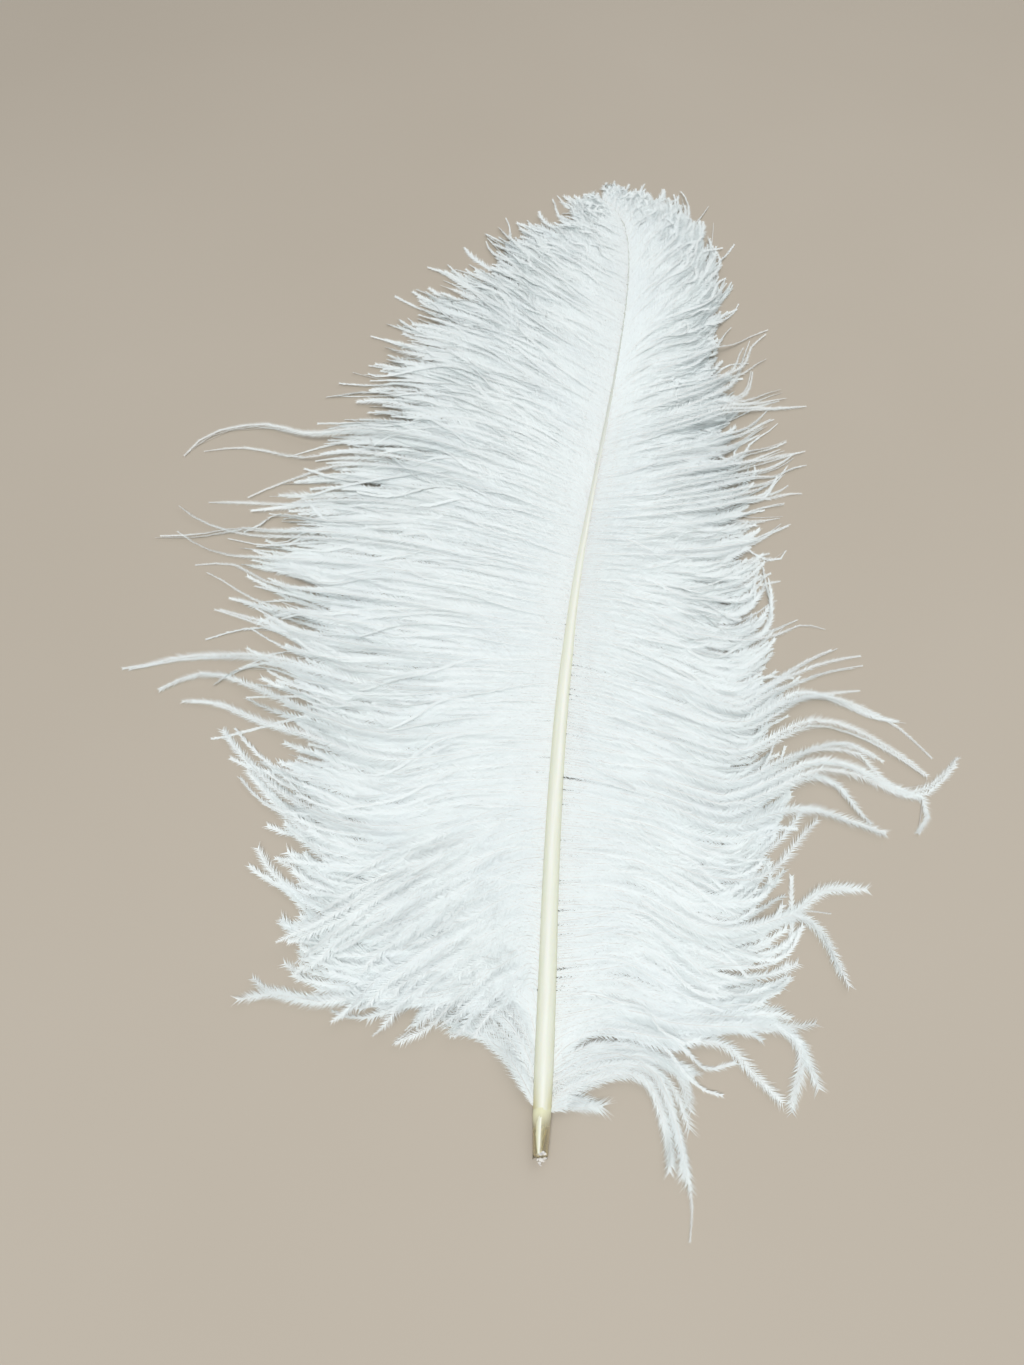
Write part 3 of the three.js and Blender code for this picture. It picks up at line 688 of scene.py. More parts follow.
def barb_tree(stem_material, barbule_material):
    """Turns centre lines into barbs: a thin stem with a row of leaning barbules on each side."""
    tree = bpy.data.node_groups.new("grow_barbs", "GeometryNodeTree")
    face = tree.interface
    face.new_socket("Barb Lines", in_out="INPUT", socket_type="NodeSocketGeometry")
    for name in ("Barbule Spacing", "Barbule Width", "Barbule Lean", "Stem Radius", "Lowest Height"):
        face.new_socket(name, in_out="INPUT", socket_type="NodeSocketFloat")
    face.new_socket("Barbs", in_out="OUTPUT", socket_type="NodeSocketGeometry")

    def add(kind, inputs=None, **settings):
        node = tree.nodes.new(kind)
        for key, value in settings.items():
            setattr(node, key, value)
        for key, value in (inputs or {}).items():
            socket = node.inputs[key]
            if isinstance(value, bpy.types.NodeSocket):
                tree.links.new(value, socket)
            else:
                socket.default_value = value
        return node

    def result(kind, inputs=None, **settings):
        return add(kind, inputs, **settings).outputs[0]

    def math_of(operation, *values):
        return result("ShaderNodeMath", dict(enumerate(values)), operation=operation)

    def vector_of(operation, *values):
        return result("ShaderNodeVectorMath", dict(enumerate(values)), operation=operation)

    def scaled(vector, factor):
        return result("ShaderNodeVectorMath", {0: vector, "Scale": factor}, operation="SCALE")

    def attribute(name, data_type="FLOAT"):
        return result("GeometryNodeInputNamedAttribute", {"Name": name}, data_type=data_type)

    def random_float(low, high, seed):
        node = add("FunctionNodeRandomValue", {2: low, 3: high, "Seed": seed}, data_type="FLOAT")
        return node.outputs[1]

    def position():
        return add("ShaderNodeSeparateXYZ", {0: result("GeometryNodeInputPosition")}).outputs

    def painted(geometry, material):
        return result("GeometryNodeSetMaterial", {"Geometry": geometry, "Material": material})

    def moved(geometry, x, y, z):
        to = result("ShaderNodeCombineXYZ", {"X": x, "Y": y, "Z": z})
        return result("GeometryNodeSetPosition", {"Geometry": geometry, "Position": to})

    def joined(*geometries):
        join = add("GeometryNodeJoinGeometry")
        for geometry in geometries:
            tree.links.new(geometry, join.inputs[0])
        return join.outputs[0]

    given = add("NodeGroupInput").outputs
    lines = result("GeometryNodeMeshToCurve", {"Mesh": given["Barb Lines"]})

    # Stems.
    profile = result("GeometryNodeCurvePrimitiveCircle", {"Resolution": STEM_SIDES, "Radius": 1.0})
    thickness = math_of("MULTIPLY", attribute("stem"), given["Stem Radius"])
    coarse = result("GeometryNodeResampleCurve", {"Curve": lines, "Count": STEM_POINTS})
    stems = painted(result(
        "GeometryNodeCurveToMesh",
        {"Curve": coarse, "Profile Curve": profile, "Scale": thickness, "Fill Caps": True},
    ), stem_material)

    # One barbule: a triangle made pointed, 1 long and 1 wide, with its root at the origin.
    blade = result("GeometryNodeMeshCircle", {"Vertices": 3, "Radius": 1.0}, fill_type="NGON")
    corner = position()
    reach = math_of("MULTIPLY", math_of("ADD", corner[0], 0.5), 1 / 1.5)
    breadth_there = math_of("MULTIPLY", corner[1], 1 / math.sqrt(3))
    blade = moved(blade, reach, breadth_there, 0.0)

    # A row on each side, every barbule turned a little differently.
    points = add(
        "GeometryNodeCurveToPoints", {"Curve": lines, "Length": given["Barbule Spacing"]}, mode="LENGTH"
    )
    tangent = points.outputs["Tangent"]
    facing = attribute("facing", "FLOAT_VECTOR")
    sideways = vector_of("NORMALIZE", vector_of("CROSS_PRODUCT", tangent, facing))
    rows = []
    for seed, side in ((11, 1.0), (37, -1.0)):
        slant = random_float(-BARBULE_LEAN_SPREAD, BARBULE_LEAN_SPREAD, seed)
        lean = math_of("RADIANS", math_of("ADD", given["Barbule Lean"], slant))
        lift = math_of("RADIANS", random_float(*BARBULE_LIFT, seed + 1))
        outward = scaled(sideways, math_of("MULTIPLY", side, math_of("COSINE", lean)))
        forward = scaled(tangent, math_of("SINE", lean))
        upward = scaled(facing, math_of("MULTIPLY", math_of("SINE", lift), BARBULE_LIFT_SHARE))
        direction = vector_of("ADD", vector_of("ADD", outward, forward), upward)
        turn = result(
            "FunctionNodeAxesToRotation",
            {"Primary Axis": direction, "Secondary Axis": facing},
            primary_axis="X", secondary_axis="Z",
        )
        length = math_of("MULTIPLY", attribute("breadth"), random_float(*BARBULE_LENGTHS, seed + 2))
        scale = result("ShaderNodeCombineXYZ", {"X": length, "Y": given["Barbule Width"], "Z": length})
        rows.append(result(
            "GeometryNodeInstanceOnPoints",
            {"Points": points.outputs["Points"], "Instance": blade, "Rotation": turn, "Scale": scale},
        ))
    barbules = result("GeometryNodeRealizeInstances", {"Geometry": joined(*rows)})
    barbs = joined(stems, painted(barbules, barbule_material))

    # Nothing reaches into the floor.
    now = position()
    raised = math_of("MAXIMUM", now[2], given["Lowest Height"])
    barbs = moved(barbs, now[0], now[1], raised)
    barbs = result("GeometryNodeSetShadeSmooth", {"Geometry": barbs})
    tree.links.new(barbs, add("NodeGroupOutput").inputs[0])
    return tree


def grow_barbs(name, tree, barbs, **changes):
    """One piece from the centre lines in barbs: points, facing, breadth, stem and shade."""
    count, length = barbs["points"].shape[:2]
    mesh = bpy.data.meshes.new(name)
    mesh.vertices.add(count * length)
    mesh.vertices.foreach_set("co", place(barbs["points"]).ravel())
    first = (np.arange(count)[:, None] * length + np.arange(length - 1)).ravel()
    mesh.edges.add(len(first))
    mesh.edges.foreach_set("vertices", np.column_stack([first, first + 1]).ravel())
    mark_points(mesh, **{key: barbs[key].ravel() for key in ("breadth", "stem", "shade")})
    facing = mesh.attributes.new("facing", "FLOAT_VECTOR", "POINT")
    facing.data.foreach_set("vector", barbs["facing"].ravel())
    piece = add_object(name, mesh)
    grower = piece.modifiers.new("grow", "NODES")
    grower.node_group = tree
    sizes = {
        "Barbule Spacing": BARBULE_SPACING * MM,
        "Barbule Width": BARBULE_WIDTH * MM,
        "Barbule Lean": BARBULE_LEAN,
        "Stem Radius": STEM_RADIUS * MM,
        "Lowest Height": LOWEST_POINT * MM,
        **changes,
    }
    for item in tree.interface.items_tree:
        if item.name in sizes:
            grower[item.identifier] = float(sizes[item.name])
    grown = bpy.data.meshes.new_from_object(piece.evaluated_get(bpy.context.evaluated_depsgraph_get()))
    piece.modifiers.clear()
    piece.data = grown
    grown.name = name
    return piece


# ---- where the barbs run --------------------------------------------------------------------------

def root_point(root, side):
    """Where a barb leaves the shaft, on the floor plan."""
    along = min(root, SHAFT_LENGTH)
    inset = line_value(ROOT_INSET, along)
    across = smooth_value(SHAFT_ACROSS, along) + side * inset * line_value(SHAFT_WIDTH, along)
    return (float(across), along)


def flow_of(rows, side):
    """The rows of a vane as places on the shaft and smooth lines from there."""
    roots = np.array([root for root, _ in rows], float)
    lines = np.array([smooth_line([root_point(root, side), *ways], BARB_POINTS) for root, ways in rows])
    return roots, lines


def flow_at(flow, roots):
    """The barbs that leave the shaft at the given places, between the rows of the flow."""
    keys, lines = flow
    i = np.clip(np.searchsorted(keys, roots, side="right") - 1, 0, len(keys) - 2)
    share = ((roots - keys[i]) / (keys[i + 1] - keys[i]))[:, None, None]
    return lines[i] * (1 - share) + lines[i + 1] * share


def spread_roots(rng, flow, count):
    """Random places along the shaft, closer together where the barbs fan out."""
    keys, _ = flow
    trial = np.linspace(keys[0], keys[-1], FAN_STATIONS)
    outer = flow_at(flow, trial)[:, BARB_POINTS * 2 // 3]
    gaps = np.linalg.norm(np.diff(outer, axis=0), axis=-1)
    needed = np.r_[0, np.cumsum(np.clip(gaps / gaps.mean(), *FAN_LIMITS))]
    places = (np.arange(count) + rng.uniform(*ROOT_JITTER, count)) / count
    return np.interp(places * needed[-1], needed, trial)


def any_roots(rng, flow, count):
    """Random places along the shaft, in order."""
    keys, _ = flow
    return np.sort(rng.uniform(keys[0], keys[-1], count))


def stretched(lines, factors):
    """The same lines cut short or drawn out to factors of their length."""
    last = lines.shape[1] - 1
    places = np.linspace(0, last, last + 1)[None, :] * factors[:, None]
    i = np.clip(places.astype(int), 0, last - 1)
    share = (places - i)[..., None]
    rows = np.arange(len(lines))[:, None]
    return lines[rows, i] * (1 - share) + lines[rows, i + 1] * share


def sideways_of(lines):
    """Unit vectors square to each line on the floor plan."""
    run = unit(np.gradient(lines[..., :2], axis=1))
    return np.stack([-run[..., 1], run[..., 0]], axis=-1)


def gathered(rng, lines, start, strength, barbs_in_lock, bend, free_share=0.0):
    """Lets neighbouring barbs cling together into pointed locks beyond a share of their length.
    The strength is one value or one for each line."""
    strength = np.broadcast_to(strength, len(lines))
    t = np.linspace(0, 1, lines.shape[1])
    result = lines.copy()
    factors = np.ones(len(lines))
    first = 0
    while first < len(lines):
        last = min(first + int(rng.integers(*barbs_in_lock)), len(lines))
        members = slice(first, last)
        middle = lines[members].mean(axis=0)
        swing = rng.normal(0, bend) * smooth_step(t, start, 1.1) ** 2
        middle = middle + sideways_of(middle[None])[0] * swing[:, None]
        hold = rng.uniform(*LOCK_HOLD) * strength[first]
        hold = hold * smooth_step(t, start + rng.uniform(*LOCK_START_SHIFT), 1.02)
        clinging = rng.uniform(0, 1, last - first) > free_share
        result[members] += (middle - result[members]) * hold[None, :, None] * clinging[:, None, None]
        rank = np.abs(np.linspace(-1, 1, last - first)) if last - first > 1 else np.zeros(1)
        factors[members] = rng.uniform(*LOCK_LENGTHS) - LOCK_TAPER * rank * rng.uniform(0.3, 1)
        first = last
    return result, factors


def waves(rng, count, t, amplitude, cycles):
    """Slow random waves along each barb that start from nothing at its root."""
    total = np.zeros((count, len(t)))
    for octave in (1, 2):
        turns = rng.uniform(0.5, 1.3, (count, 1)) * cycles * octave
        phase = rng.uniform(0, 2 * math.pi, (count, 1))
        total += np.sin(2 * math.pi * turns * t + phase) / octave
    return total * amplitude * smooth_step(t, 0, 0.35)


def drifted(rng, lines, amount):
    """Bends lines by a slow random drift over the floor plan, the same for close neighbours.
    The amount is one value or one for each line."""
    t = np.linspace(0, 1, lines.shape[1])
    drift = np.zeros(lines.shape)
    for _ in range(DRIFT_WAVES):
        heading = rng.uniform(0, 2 * math.pi)
        wave = 2 * math.pi / rng.uniform(*DRIFT_WAVE_LENGTHS)
        along_wave = lines[..., 0] * math.cos(heading) + lines[..., 1] * math.sin(heading)
        push = rng.normal(0, 1, 2) * DRIFT_SPREAD
        drift += np.sin(along_wave * wave + rng.uniform(0, 2 * math.pi))[..., None] * push
    amounts = np.broadcast_to(amount, len(lines))[:, None, None]
    growing = smooth_step(t, DRIFT_START, 1.0)[None, :, None]
    return lines + drift * amounts / math.sqrt(DRIFT_WAVES) * growing


def barb_heights(rng, plan, roots, t, span, crown, layers, level):
    """How high the barbs lie: down from the shaft in a low arch, each in a layer of its own."""
    count = len(plan)
    on_shaft = np.minimum(roots, SHAFT_LENGTH)
    height = smooth_value(SHAFT_HEIGHT, on_shaft)[:, None]
    grip = line_value(ROOT_RISE, on_shaft)[:, None]
    height = height + grip * line_value(SHAFT_WIDTH, on_shaft)[:, None]
    tallest = smooth_value(SHAFT_HEIGHT, SHAFT_LENGTH / 2)
    reach = np.linalg.norm(plan[:, -1] - plan[:, 0], axis=-1)[:, None] / span
    swell = crown * (height / tallest) * np.clip(reach / ARCHED_REACH, *ARCH_LIMITS)
    slope = np.minimum(t * span / BARB_LANDING, 1)
    rise = height * (1 - smooth_step(slope)) + swell * np.sin(math.pi * slope)
    layer = rng.uniform(-1, 1, (count, 1)) * layers + level
    layer = layer * np.sin(math.pi * np.minimum(t, 0.92)) ** 0.8
    tip = rng.uniform(0, 1, (count, 1)) ** 2 * TIP_LIFT * smooth_step(t, 0.7, 1)
    above = rise + layer + tip + waves(rng, count, t[0], 0.4, 2)
    return np.maximum(above, FLOOR_CLEARANCE + FLOOR_CLEARANCE_SPREAD * rng.uniform(0, 1, (count, 1)))


def barb_facings(rng, points, t):
    """Which way the flat of each barb faces: up, rolled a little more towards its tip."""
    run = unit(np.gradient(points, axis=1))
    side = unit(np.cross(run, UP))
    facing = np.cross(side, run)
    roll = (waves(rng, len(points), t[0], 0.45, 1.1) * (0.35 + t**2))[..., None]
    return facing * np.cos(roll) + side * np.sin(roll)


def barbule_lengths(rng, count, t, fluff, thinning, tip_thinning):
    """How long the barbules are along each barb."""
    length = (ROOT_BARBULE + BARBULE_GAIN * smooth_step(t, 0.0, 0.15)) * fluff
    length = length * rng.uniform(0.85, 1.1, (count, 1))
    tip_start = rng.uniform(0.68, 0.95, (count, 1))
    length = length * (1 - rng.uniform(*tip_thinning, (count, 1)) * smooth_step(t, tip_start, 1.0))
    length = length * (1 - thinning * smooth_step(t, 0.45, 0.9))
    bare = (rng.uniform(0, 1, (count, 1)) < BARE_TIPS) * smooth_step(t, 0.7, 0.8)
    return length * (1 - BARE_LOSS * bare)


def barb_set(rng, plan, roots, crown=BARB_CROWN, layers=1.5, wander=1.6, fluff=1.0, level=0.0,
             thinning=0.0, tip_thinning=TIP_THINNING, span=1.0):
    """Gives lines on the plan their height, width and twist. A line cut short to a span of its
    length stays as high as its longer neighbours."""
    count, length = plan.shape[:2]
    t = np.linspace(0, 1, length)[None, :]
    sway = waves(rng, count, t[0], wander, 1.2) * (0.1 + 0.9 * t**2)
    plan = plan + sideways_of(plan) * sway[..., None]
    height = barb_heights(rng, plan, roots, t, span, crown, layers, level)
    points = np.concatenate([plan, height[..., None]], axis=-1)
    facing = barb_facings(rng, points, t)
    breadth = barbule_lengths(rng, count, t, fluff, thinning, tip_thinning) * MM
    stem = np.broadcast_to(ROOT_STEM - STEM_TAPER * t, (count, length))
    shade = np.broadcast_to(rng.uniform(0, 1, (count, 1)), (count, length))
    return {"points": points, "facing": facing, "breadth": breadth, "stem": stem, "shade": shade}


def joined_sets(*sets):
    """Several sets of barbs as one."""
    return {key: np.concatenate([one[key] for one in sets]) for key in sets[0]}


def part_of(barbs, first, last):
    return {key: values[first:last] for key, values in barbs.items()}


def tip_thinning_at(roots):
    """How much shorter the barbules get at the tips of barbs from these places."""
    pointed = line_value(POINTED, roots)[:, None]
    least, most = TIP_THINNING
    return least * pointed, most * pointed


def stray_lines(rng, flow, strays):
    """Barbs that follow the vane from the shaft and then leave it along a stray lock."""
    keys, _ = flow
    trial = np.linspace(keys[0], keys[-1], STRAY_STATIONS)
    trial_lines = flow_at(flow, trial)
    lines, roots = [], []
    for copies, way in strays:
        leaves = np.array(way[0])
        gap = np.linalg.norm(trial_lines[:, STRAY_FOLLOWS:] - leaves, axis=-1)
        row, place_in = np.unravel_index(np.argmin(gap), gap.shape)
        base = trial_lines[row, : STRAY_FOLLOWS + place_in : 3]
        base = base[np.linalg.norm(base - leaves, axis=-1) > STRAY_BEND]
        for _ in range(copies):
            shift = rng.normal(0, STRAY_SPREAD, 2)
            closing = np.linspace(1, STRAY_CLOSING, len(way))[:, None]
            moved = [base[0], *(base[1:] + shift), *(np.array(way) + shift * closing)]
            whole = smooth_line(moved, BARB_POINTS)
            lines.append(stretched(whole[None], np.array([rng.uniform(0.94, 1.0)]))[0])
            roots.append(trial[row])
    return np.array(lines), np.array(roots)


def draped_barbs(rng, count, rows, side):
    """Barbs that droop across the others, with their tips still in the air."""
    flow = flow_of(rows, side)
    roots = any_roots(rng, flow, count)
    plan = drifted(rng, flow_at(flow, roots), amount=5.0)
    plan, factors = gathered(rng, plan, start=0.4, strength=0.4, barbs_in_lock=(2, 6), bend=4.0)
    factors = factors * (0.6 + 0.8 * rng.uniform(0, 1, count) ** 2.2)
    plan = stretched(plan, factors)
    return barb_set(
        rng, plan, roots, layers=0.4, level=0.3, fluff=1.0, span=0.5 * factors[:, None], wander=2.5,
        tip_thinning=(0.5, 0.95),
    )


def vane_layer(rng, flow, layer):
    """The barbs of one layer of a vane, and the places on the shaft that they grow from."""
    keys, _ = flow
    count = int((keys[-1] - keys[0]) / BARB_SPACING * layer["share"])
    roots = spread_roots(rng, flow, count)
    calm = line_value(CALM, roots)
    start, cling = layer["cling_from"], layer["cling"]
    plan = drifted(rng, flow_at(flow, roots), layer["drift"] * calm)
    plan, _ = gathered(rng, plan, start, STRAND_CLING * cling, STRAND_BARBS, STRAND_BEND * cling)
    firm = cling * line_value(FIRM, roots)
    plan, factors = gathered(rng, plan, start, firm, LOCK_BARBS, LOCK_BEND * cling, LOCK_FREE_SHARE)
    factors = layer["reach"] * factors * rng.uniform(layer["shortest"], LONGEST_BARB, count)
    plan = stretched(plan, factors)
    lean = rng.normal(0, layer["lean"], count) * calm
    away = plan - plan[:, :1]
    turned = np.stack([-away[..., 1], away[..., 0]], axis=-1) * lean[:, None, None]
    plan = plan + turned * np.linspace(0, 1, BARB_POINTS)[None, :, None]
    fluff = layer["fluff"] * line_value(FULLER, roots)
    barbs = barb_set(
        rng, plan, roots, layers=LAYER_SPREAD, level=layer["level"], fluff=fluff[:, None],
        span=factors[:, None], tip_thinning=tip_thinning_at(roots),
        wander=WANDER + DRIFT_WANDER * layer["drift"] * calm.mean(),
    )
    return barbs, roots


def vane_barbs(side, rows, strays, drape=(), drape_count=0, *, seed):
    """The barbs of one vane: all layers in order along the shaft, and the loose locks."""
    rng = np.random.default_rng(seed)
    flow = flow_of(rows, side)
    grown = [vane_layer(rng, flow, layer) for layer in VANE_LAYERS]
    order = np.argsort(np.concatenate([roots for _, roots in grown]))
    layered = joined_sets(*[barbs for barbs, _ in grown])
    barbs = {key: values[order] for key, values in layered.items()}
    plan, roots = stray_lines(rng, flow, strays)
    loose = barb_set(
        rng, plan, roots, wander=0.5, layers=1.2, tip_thinning=tip_thinning_at(roots),
        thinning=line_value(STRAY_THINNING, roots)[:, None],
    )
    if drape_count:
        loose = joined_sets(loose, draped_barbs(rng, drape_count, drape, side))
    return barbs, loose


def down_barbs(side, groups, strays, seed):
    """The barbs of one downy tuft."""
    rng = np.random.default_rng(seed)
    sets = []
    for count, fluff, rows in groups:
        flow = flow_of(rows, side)
        roots = any_roots(rng, flow, count)
        plan = drifted(rng, flow_at(flow, roots), amount=1.5)
        plan, factors = gathered(rng, plan, start=0.5, strength=0.4, barbs_in_lock=(3, 8), bend=1.5)
        plan = stretched(plan, factors**0.3 * rng.uniform(0.95, 1.05, count))
        fluffy = {"fluff": fluff, "tip_thinning": (-0.6, 0.1)}
        sets.append(barb_set(rng, plan, roots, crown=6, wander=0.8, **fluffy))
    plan, roots = stray_lines(rng, flow_of(groups[-1][-1], side), strays)
    thin = {"fluff": 0.7, "thinning": 0.4}
    sets.append(barb_set(rng, plan, roots, crown=4, layers=1, wander=0.5, **thin))
    return joined_sets(*sets)


# ---- pieces -----------------------------------------------------------------------------------

def ring_mesh(name, rings, looped=False):
    """A closed skin over rings of points: its ends are filled, or the last ring joins the first."""
    count, sides = rings.shape[:2]
    points = place(rings.reshape(-1, 3))
    faces = []
    for ring in range(count if looped else count - 1):
        here, there = ring * sides, (ring + 1) % count * sides
        for side in range(sides):
            after = (side + 1) % sides
            faces.append((here + side, there + side, there + after, here + after))
    if not looped:
        faces.append(tuple(range(sides)))
        faces.append(tuple(reversed(range((count - 1) * sides, count * sides))))
    mesh = bpy.data.meshes.new(name)
    mesh.from_pydata(points.tolist(), [], faces)
    mesh.shade_smooth()
    return mesh


def ring_turns():
    """The angles of the points round one ring."""
    return np.linspace(0, 2 * math.pi, SHAFT_SIDES, endpoint=False)


def shaft_rings(stations, radii):
    """Oval rings square to the shaft's middle line."""
    centre = shaft_centre(stations)
    run = unit(shaft_centre(np.asarray(stations) + 0.5) - shaft_centre(np.asarray(stations) - 0.5))
    side = unit(np.cross(run, UP))
    up = np.cross(side, run)
    across = np.cos(ring_turns())[None, :, None] * side[:, None]
    upward = np.sin(ring_turns())[None, :, None] * up[:, None] * SHAFT_DEPTH_RATIO
    return centre[:, None] + (across + upward) * np.asarray(radii)[:, None, None]


def make_shaft(material):
    """The solid shaft, which narrows to the end of its white core inside the clear quill."""
    in_horn = np.arange(CORE_END, HORN_LENGTH, HORN_STEP)
    stations = np.r_[in_horn, np.arange(HORN_LENGTH, SHAFT_LENGTH, SHAFT_STEP), SHAFT_LENGTH]
    full = line_value(SHAFT_WIDTH, stations) / 2
    wall = line_value(CORE_WALL, stations)
    rings = shaft_rings(stations, np.maximum(full - wall, LEAST_RADIUS))
    rings[..., 0] -= line_value(CORE_SHIFT, stations)[:, None]
    rings[..., 2] += SHAFT_DEPTH_RATIO * np.maximum(wall, 0)[:, None]
    mesh = ring_mesh("shaft_core", rings)
    turn = np.tile(np.cos(ring_turns()), len(stations))
    along = np.repeat(stations, SHAFT_SIDES)
    # the painted highlight streak, whiter where light catches the rounded shaft
    from_streak = (turn - line_value(PAINTED_HIGHLIGHT_PLACE, along)) / PAINTED_HIGHLIGHT_WIDTH
    edge = np.abs(turn) ** 1.5
    mark_points(
        mesh,
        streak=np.exp(-(from_streak**2)) * line_value(PAINTED_HIGHLIGHT_STRENGTH, along),
        edge=edge,
        upper=smooth_step(along, *UPPER_SHAFT),
        horny=(1 - smooth_step(along, *HORNY_SHAFT)) * (0.1 + 0.9 * edge),
    )
    finish_piece(add_object("shaft_core", mesh, material), "shaft")


def make_quill_tube(material, seed):
    """The clear wall of the open quill, torn at its mouth."""
    rng = np.random.default_rng(seed)
    full = line_value(SHAFT_WIDTH, TUBE_STATIONS) / 2
    sunk = line_value(TUBE_SUNK, TUBE_STATIONS)
    wall = line_value(TUBE_WALL, TUBE_STATIONS)
    outer = shaft_rings(TUBE_STATIONS, full - sunk)
    inner = shaft_rings(TUBE_STATIONS, full - sunk - wall)
    waterline = TUBE_SLANT * np.cos(ring_turns()) + rng.normal(0, 0.15, SHAFT_SIDES)
    for skin in (outer, inner):
        skin[..., 1] += smooth_step(TUBE_STATIONS, *TUBE_SLANT_STRETCH)[:, None] * waterline
    rings = np.concatenate([outer, inner[::-1]])
    torn = rng.normal(0, TORN_EDGE, SHAFT_SIDES)
    rings[0, :, 1] += torn
    rings[-1, :, 1] += torn
    mesh = ring_mesh("quill_tube", rings, looped=True)
    there_and_back = np.concatenate([TUBE_STATIONS, TUBE_STATIONS[::-1]])
    clear = TUBE_CLEARNESS * (1 - smooth_step(there_and_back, *TUBE_FADE))
    mark_points(mesh, clear=np.repeat(clear, SHAFT_SIDES))
    finish_piece(add_object("quill_tube", mesh, material), "shaft")


def pulp_flake(rng):
    """The points of one flake, row by row: a strip that curls and narrows away from its root."""
    heading = rng.uniform(-1.3, 1.3)
    tilt = rng.uniform(-0.2, 0.7)
    length, width = rng.uniform(*FLAKE_LENGTHS), rng.uniform(*FLAKE_WIDTHS)
    curl = rng.uniform(-1.4, 1.4)
    start = shaft_centre(np.array(rng.uniform(-1.2, 1.0))) + rng.normal(0, 0.9, 3) + FLAKE_MIDDLE
    points = []
    for row in range(FLAKE_ROWS):
        share = row / (FLAKE_ROWS - 1)
        turned = heading + curl * share * 0.6
        out = np.array([math.sin(turned), -math.cos(turned), math.sin(tilt + curl * share)])
        spine = start + out * length * share
        for column in range(FLAKE_COLUMNS):
            offset = (column / (FLAKE_COLUMNS - 1) - 0.5) * width * (1 - 0.6 * share)
            sideways = np.array([math.cos(heading), math.sin(heading), 0.3 * curl * offset])
            points.append(spine + sideways * offset + rng.normal(0, FLAKE_TEAR, 3))
    return points


def make_pulp_cap(material, seed):
    """Torn papery flakes in the mouth of the quill."""
    rng = np.random.default_rng(seed)
    points = np.concatenate([pulp_flake(rng) for _ in range(FLAKES)])
    points[:, 2] = np.maximum(points[:, 2], FLAKE_LOWEST)
    faces = []
    for first in range(0, len(points), FLAKE_ROWS * FLAKE_COLUMNS):
        for row in range(FLAKE_ROWS - 1):
            for column in range(FLAKE_COLUMNS - 1):
                a = first + row * FLAKE_COLUMNS + column
                faces.append((a, a + 1, a + FLAKE_COLUMNS + 1, a + FLAKE_COLUMNS))
    mesh = bpy.data.meshes.new("pulp_cap")
    mesh.from_pydata(place(points).tolist(), [], faces)
    mesh.shade_smooth()
    piece = add_object("pulp_cap_flakes", mesh, material)
    solid = piece.modifiers.new("thickness", "SOLIDIFY")
    solid.thickness = FLAKE_THICKNESS * MM
    finish_piece(piece, "pulp_cap")


def make_vane(name, barbs, loose, tree):
    """One vane: its barbs in three meshes along the shaft, and its loose locks in another."""
    shares = [0, *VANE_CUTS, 1]
    labels = ("lower", "middle", "upper")
    count = len(barbs["points"])
    for label, low, high in zip(labels, shares, shares[1:]):
        piece = grow_barbs(f"{name}_{label}", tree, part_of(barbs, int(low * count), int(high * count)))
        finish_piece(piece, name)
    finer = {"Barbule Width": LOOSE_BARBULE_WIDTH * MM, "Barbule Lean": LOOSE_BARBULE_LEAN}
    piece = grow_barbs(f"{name}_loose_locks", tree, loose, **finer)
    finish_piece(piece, name)


def make_down(name, barbs, tree):
    """One downy tuft, with finer barbules than a vane's."""
    tuft = grow_barbs(f"{name}_tuft", tree, barbs, **{"Barbule Width": DOWN_BARBULE_WIDTH * MM})
    finish_piece(tuft, name)


def make_floor():
    bpy.ops.mesh.primitive_plane_add(size=FLOOR_SIZE)
    floor = bpy.context.object
    floor.name = "floor"
    floor.data.materials.append(floor_material())


def aimed(direction):
    """The turn that makes a camera or a light face a direction."""
    return Vector(direction).to_track_quat("-Z", "Y").to_euler()


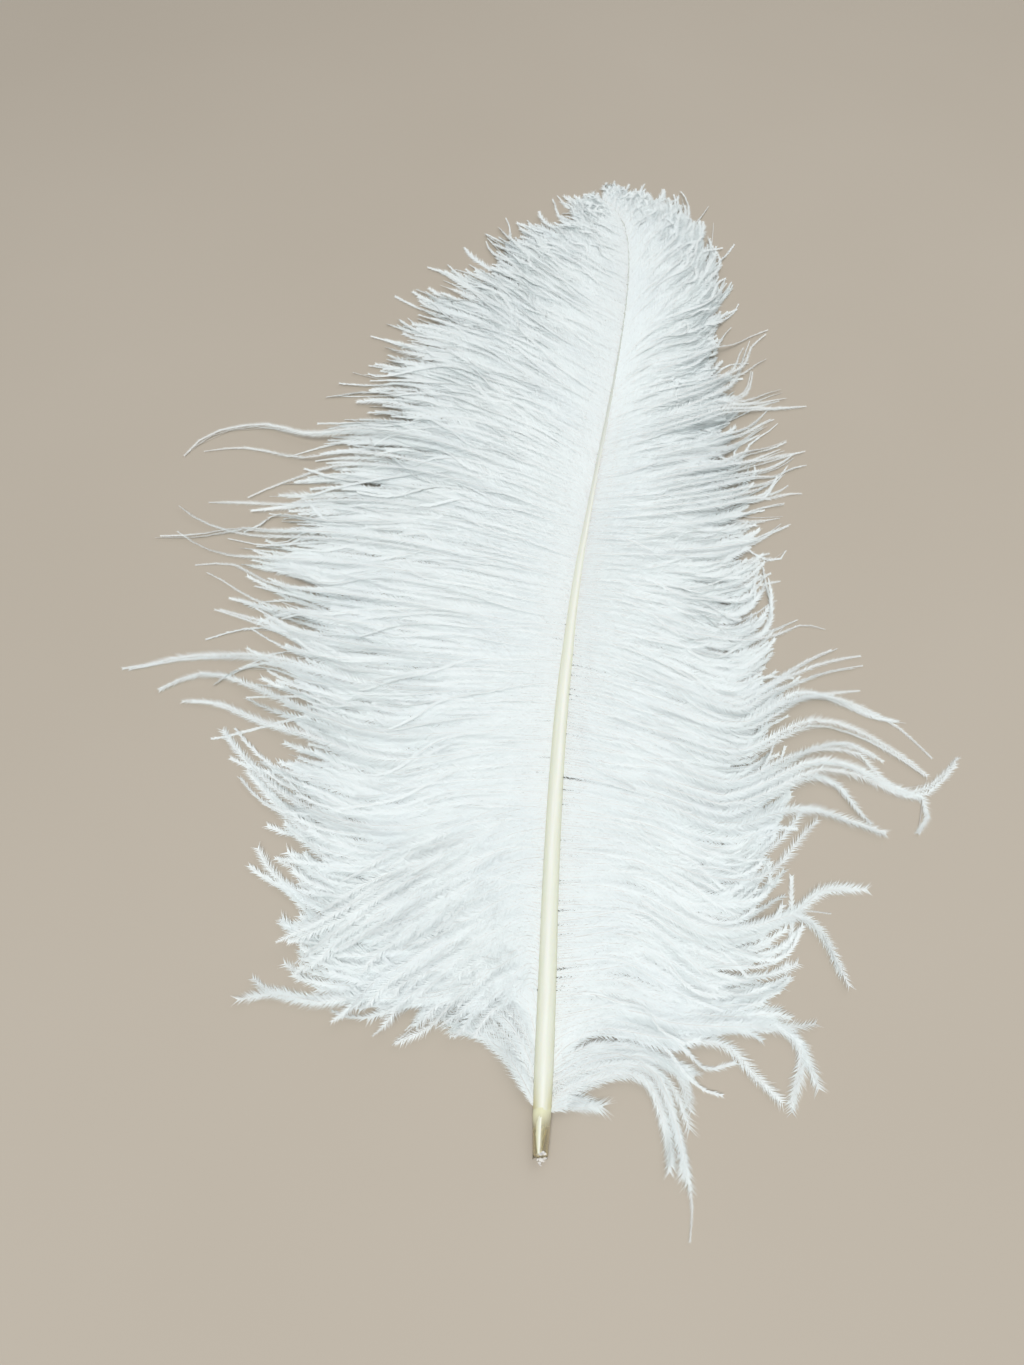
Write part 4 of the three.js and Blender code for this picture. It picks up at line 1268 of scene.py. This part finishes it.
def make_camera():
    """Above the quill, looking down along the feather."""
    heading = math.radians(CAMERA_HEADING)
    down = math.radians(CAMERA_TILT)
    camera = bpy.data.objects.new("camera", bpy.data.cameras.new("camera"))
    bpy.context.scene.collection.objects.link(camera)
    camera.location = place(CAMERA_PLACE).tolist()
    level_look = (-math.sin(heading) * math.cos(down), math.cos(heading) * math.cos(down))
    camera.rotation_euler = aimed((*level_look, -math.sin(down)))
    camera.data.sensor_width = CAMERA_SENSOR
    camera.data.lens = CAMERA_LENS
    bpy.context.scene.camera = camera


def make_light(name, location, target, size, power):
    """A square soft light. Its places and size are in metres, its power in watts."""
    light = bpy.data.lights.new(name, "AREA")
    light.size = size
    light.energy = power
    lamp = bpy.data.objects.new(name, light)
    lamp.location = location
    lamp.rotation_euler = aimed(Vector(target) - Vector(location))
    bpy.context.scene.collection.objects.link(lamp)


def make_studio():
    """A key light over the quill, a weaker one from beyond the tip, and even light all round."""
    world = bpy.data.worlds.new("studio")
    world.use_nodes = True
    world.node_tree.nodes["Background"].inputs["Color"].default_value = (*WHITE, 1)
    world.node_tree.nodes["Background"].inputs["Strength"].default_value = WORLD_STRENGTH
    bpy.context.scene.world = world
    bpy.context.scene.view_settings.view_transform = "Standard"
    make_light("key_light", (-0.1, -1.1, 2.4), target=(0, 0.05, 0), size=1.0, power=44.8)
    make_light("fill_light", (0.6, 0.6, 1.2), target=(0, 0, 0), size=1.2, power=4.2)


make_camera()
make_studio()
make_floor()

stem_white = barb_material("barb_stem", STEM_BRIGHT, STEM_DULL, see_through=0.2)
barbule_white = barb_material("barbule", BARBULE_BRIGHT, BARBULE_DULL, see_through=0.18)
grow_tree = barb_tree(stem_white, barbule_white)

make_shaft(shaft_material())
make_quill_tube(clear_horn_material(), seed=5)
make_pulp_cap(pulp_material(), seed=9)
left_barbs = vane_barbs(LEFT, LEFT_ROWS, LEFT_STRAYS, LEFT_DRAPE, LEFT_DRAPE_COUNT, seed=21)
make_vane("left_vane", *left_barbs, grow_tree)
make_vane("right_vane", *vane_barbs(RIGHT, RIGHT_ROWS, RIGHT_STRAYS, seed=22), grow_tree)
make_down("left_down", down_barbs(LEFT, LEFT_DOWN, LEFT_DOWN_STRAYS, seed=31), grow_tree)
make_down("right_down", down_barbs(RIGHT, RIGHT_DOWN, RIGHT_DOWN_STRAYS, seed=32), grow_tree)
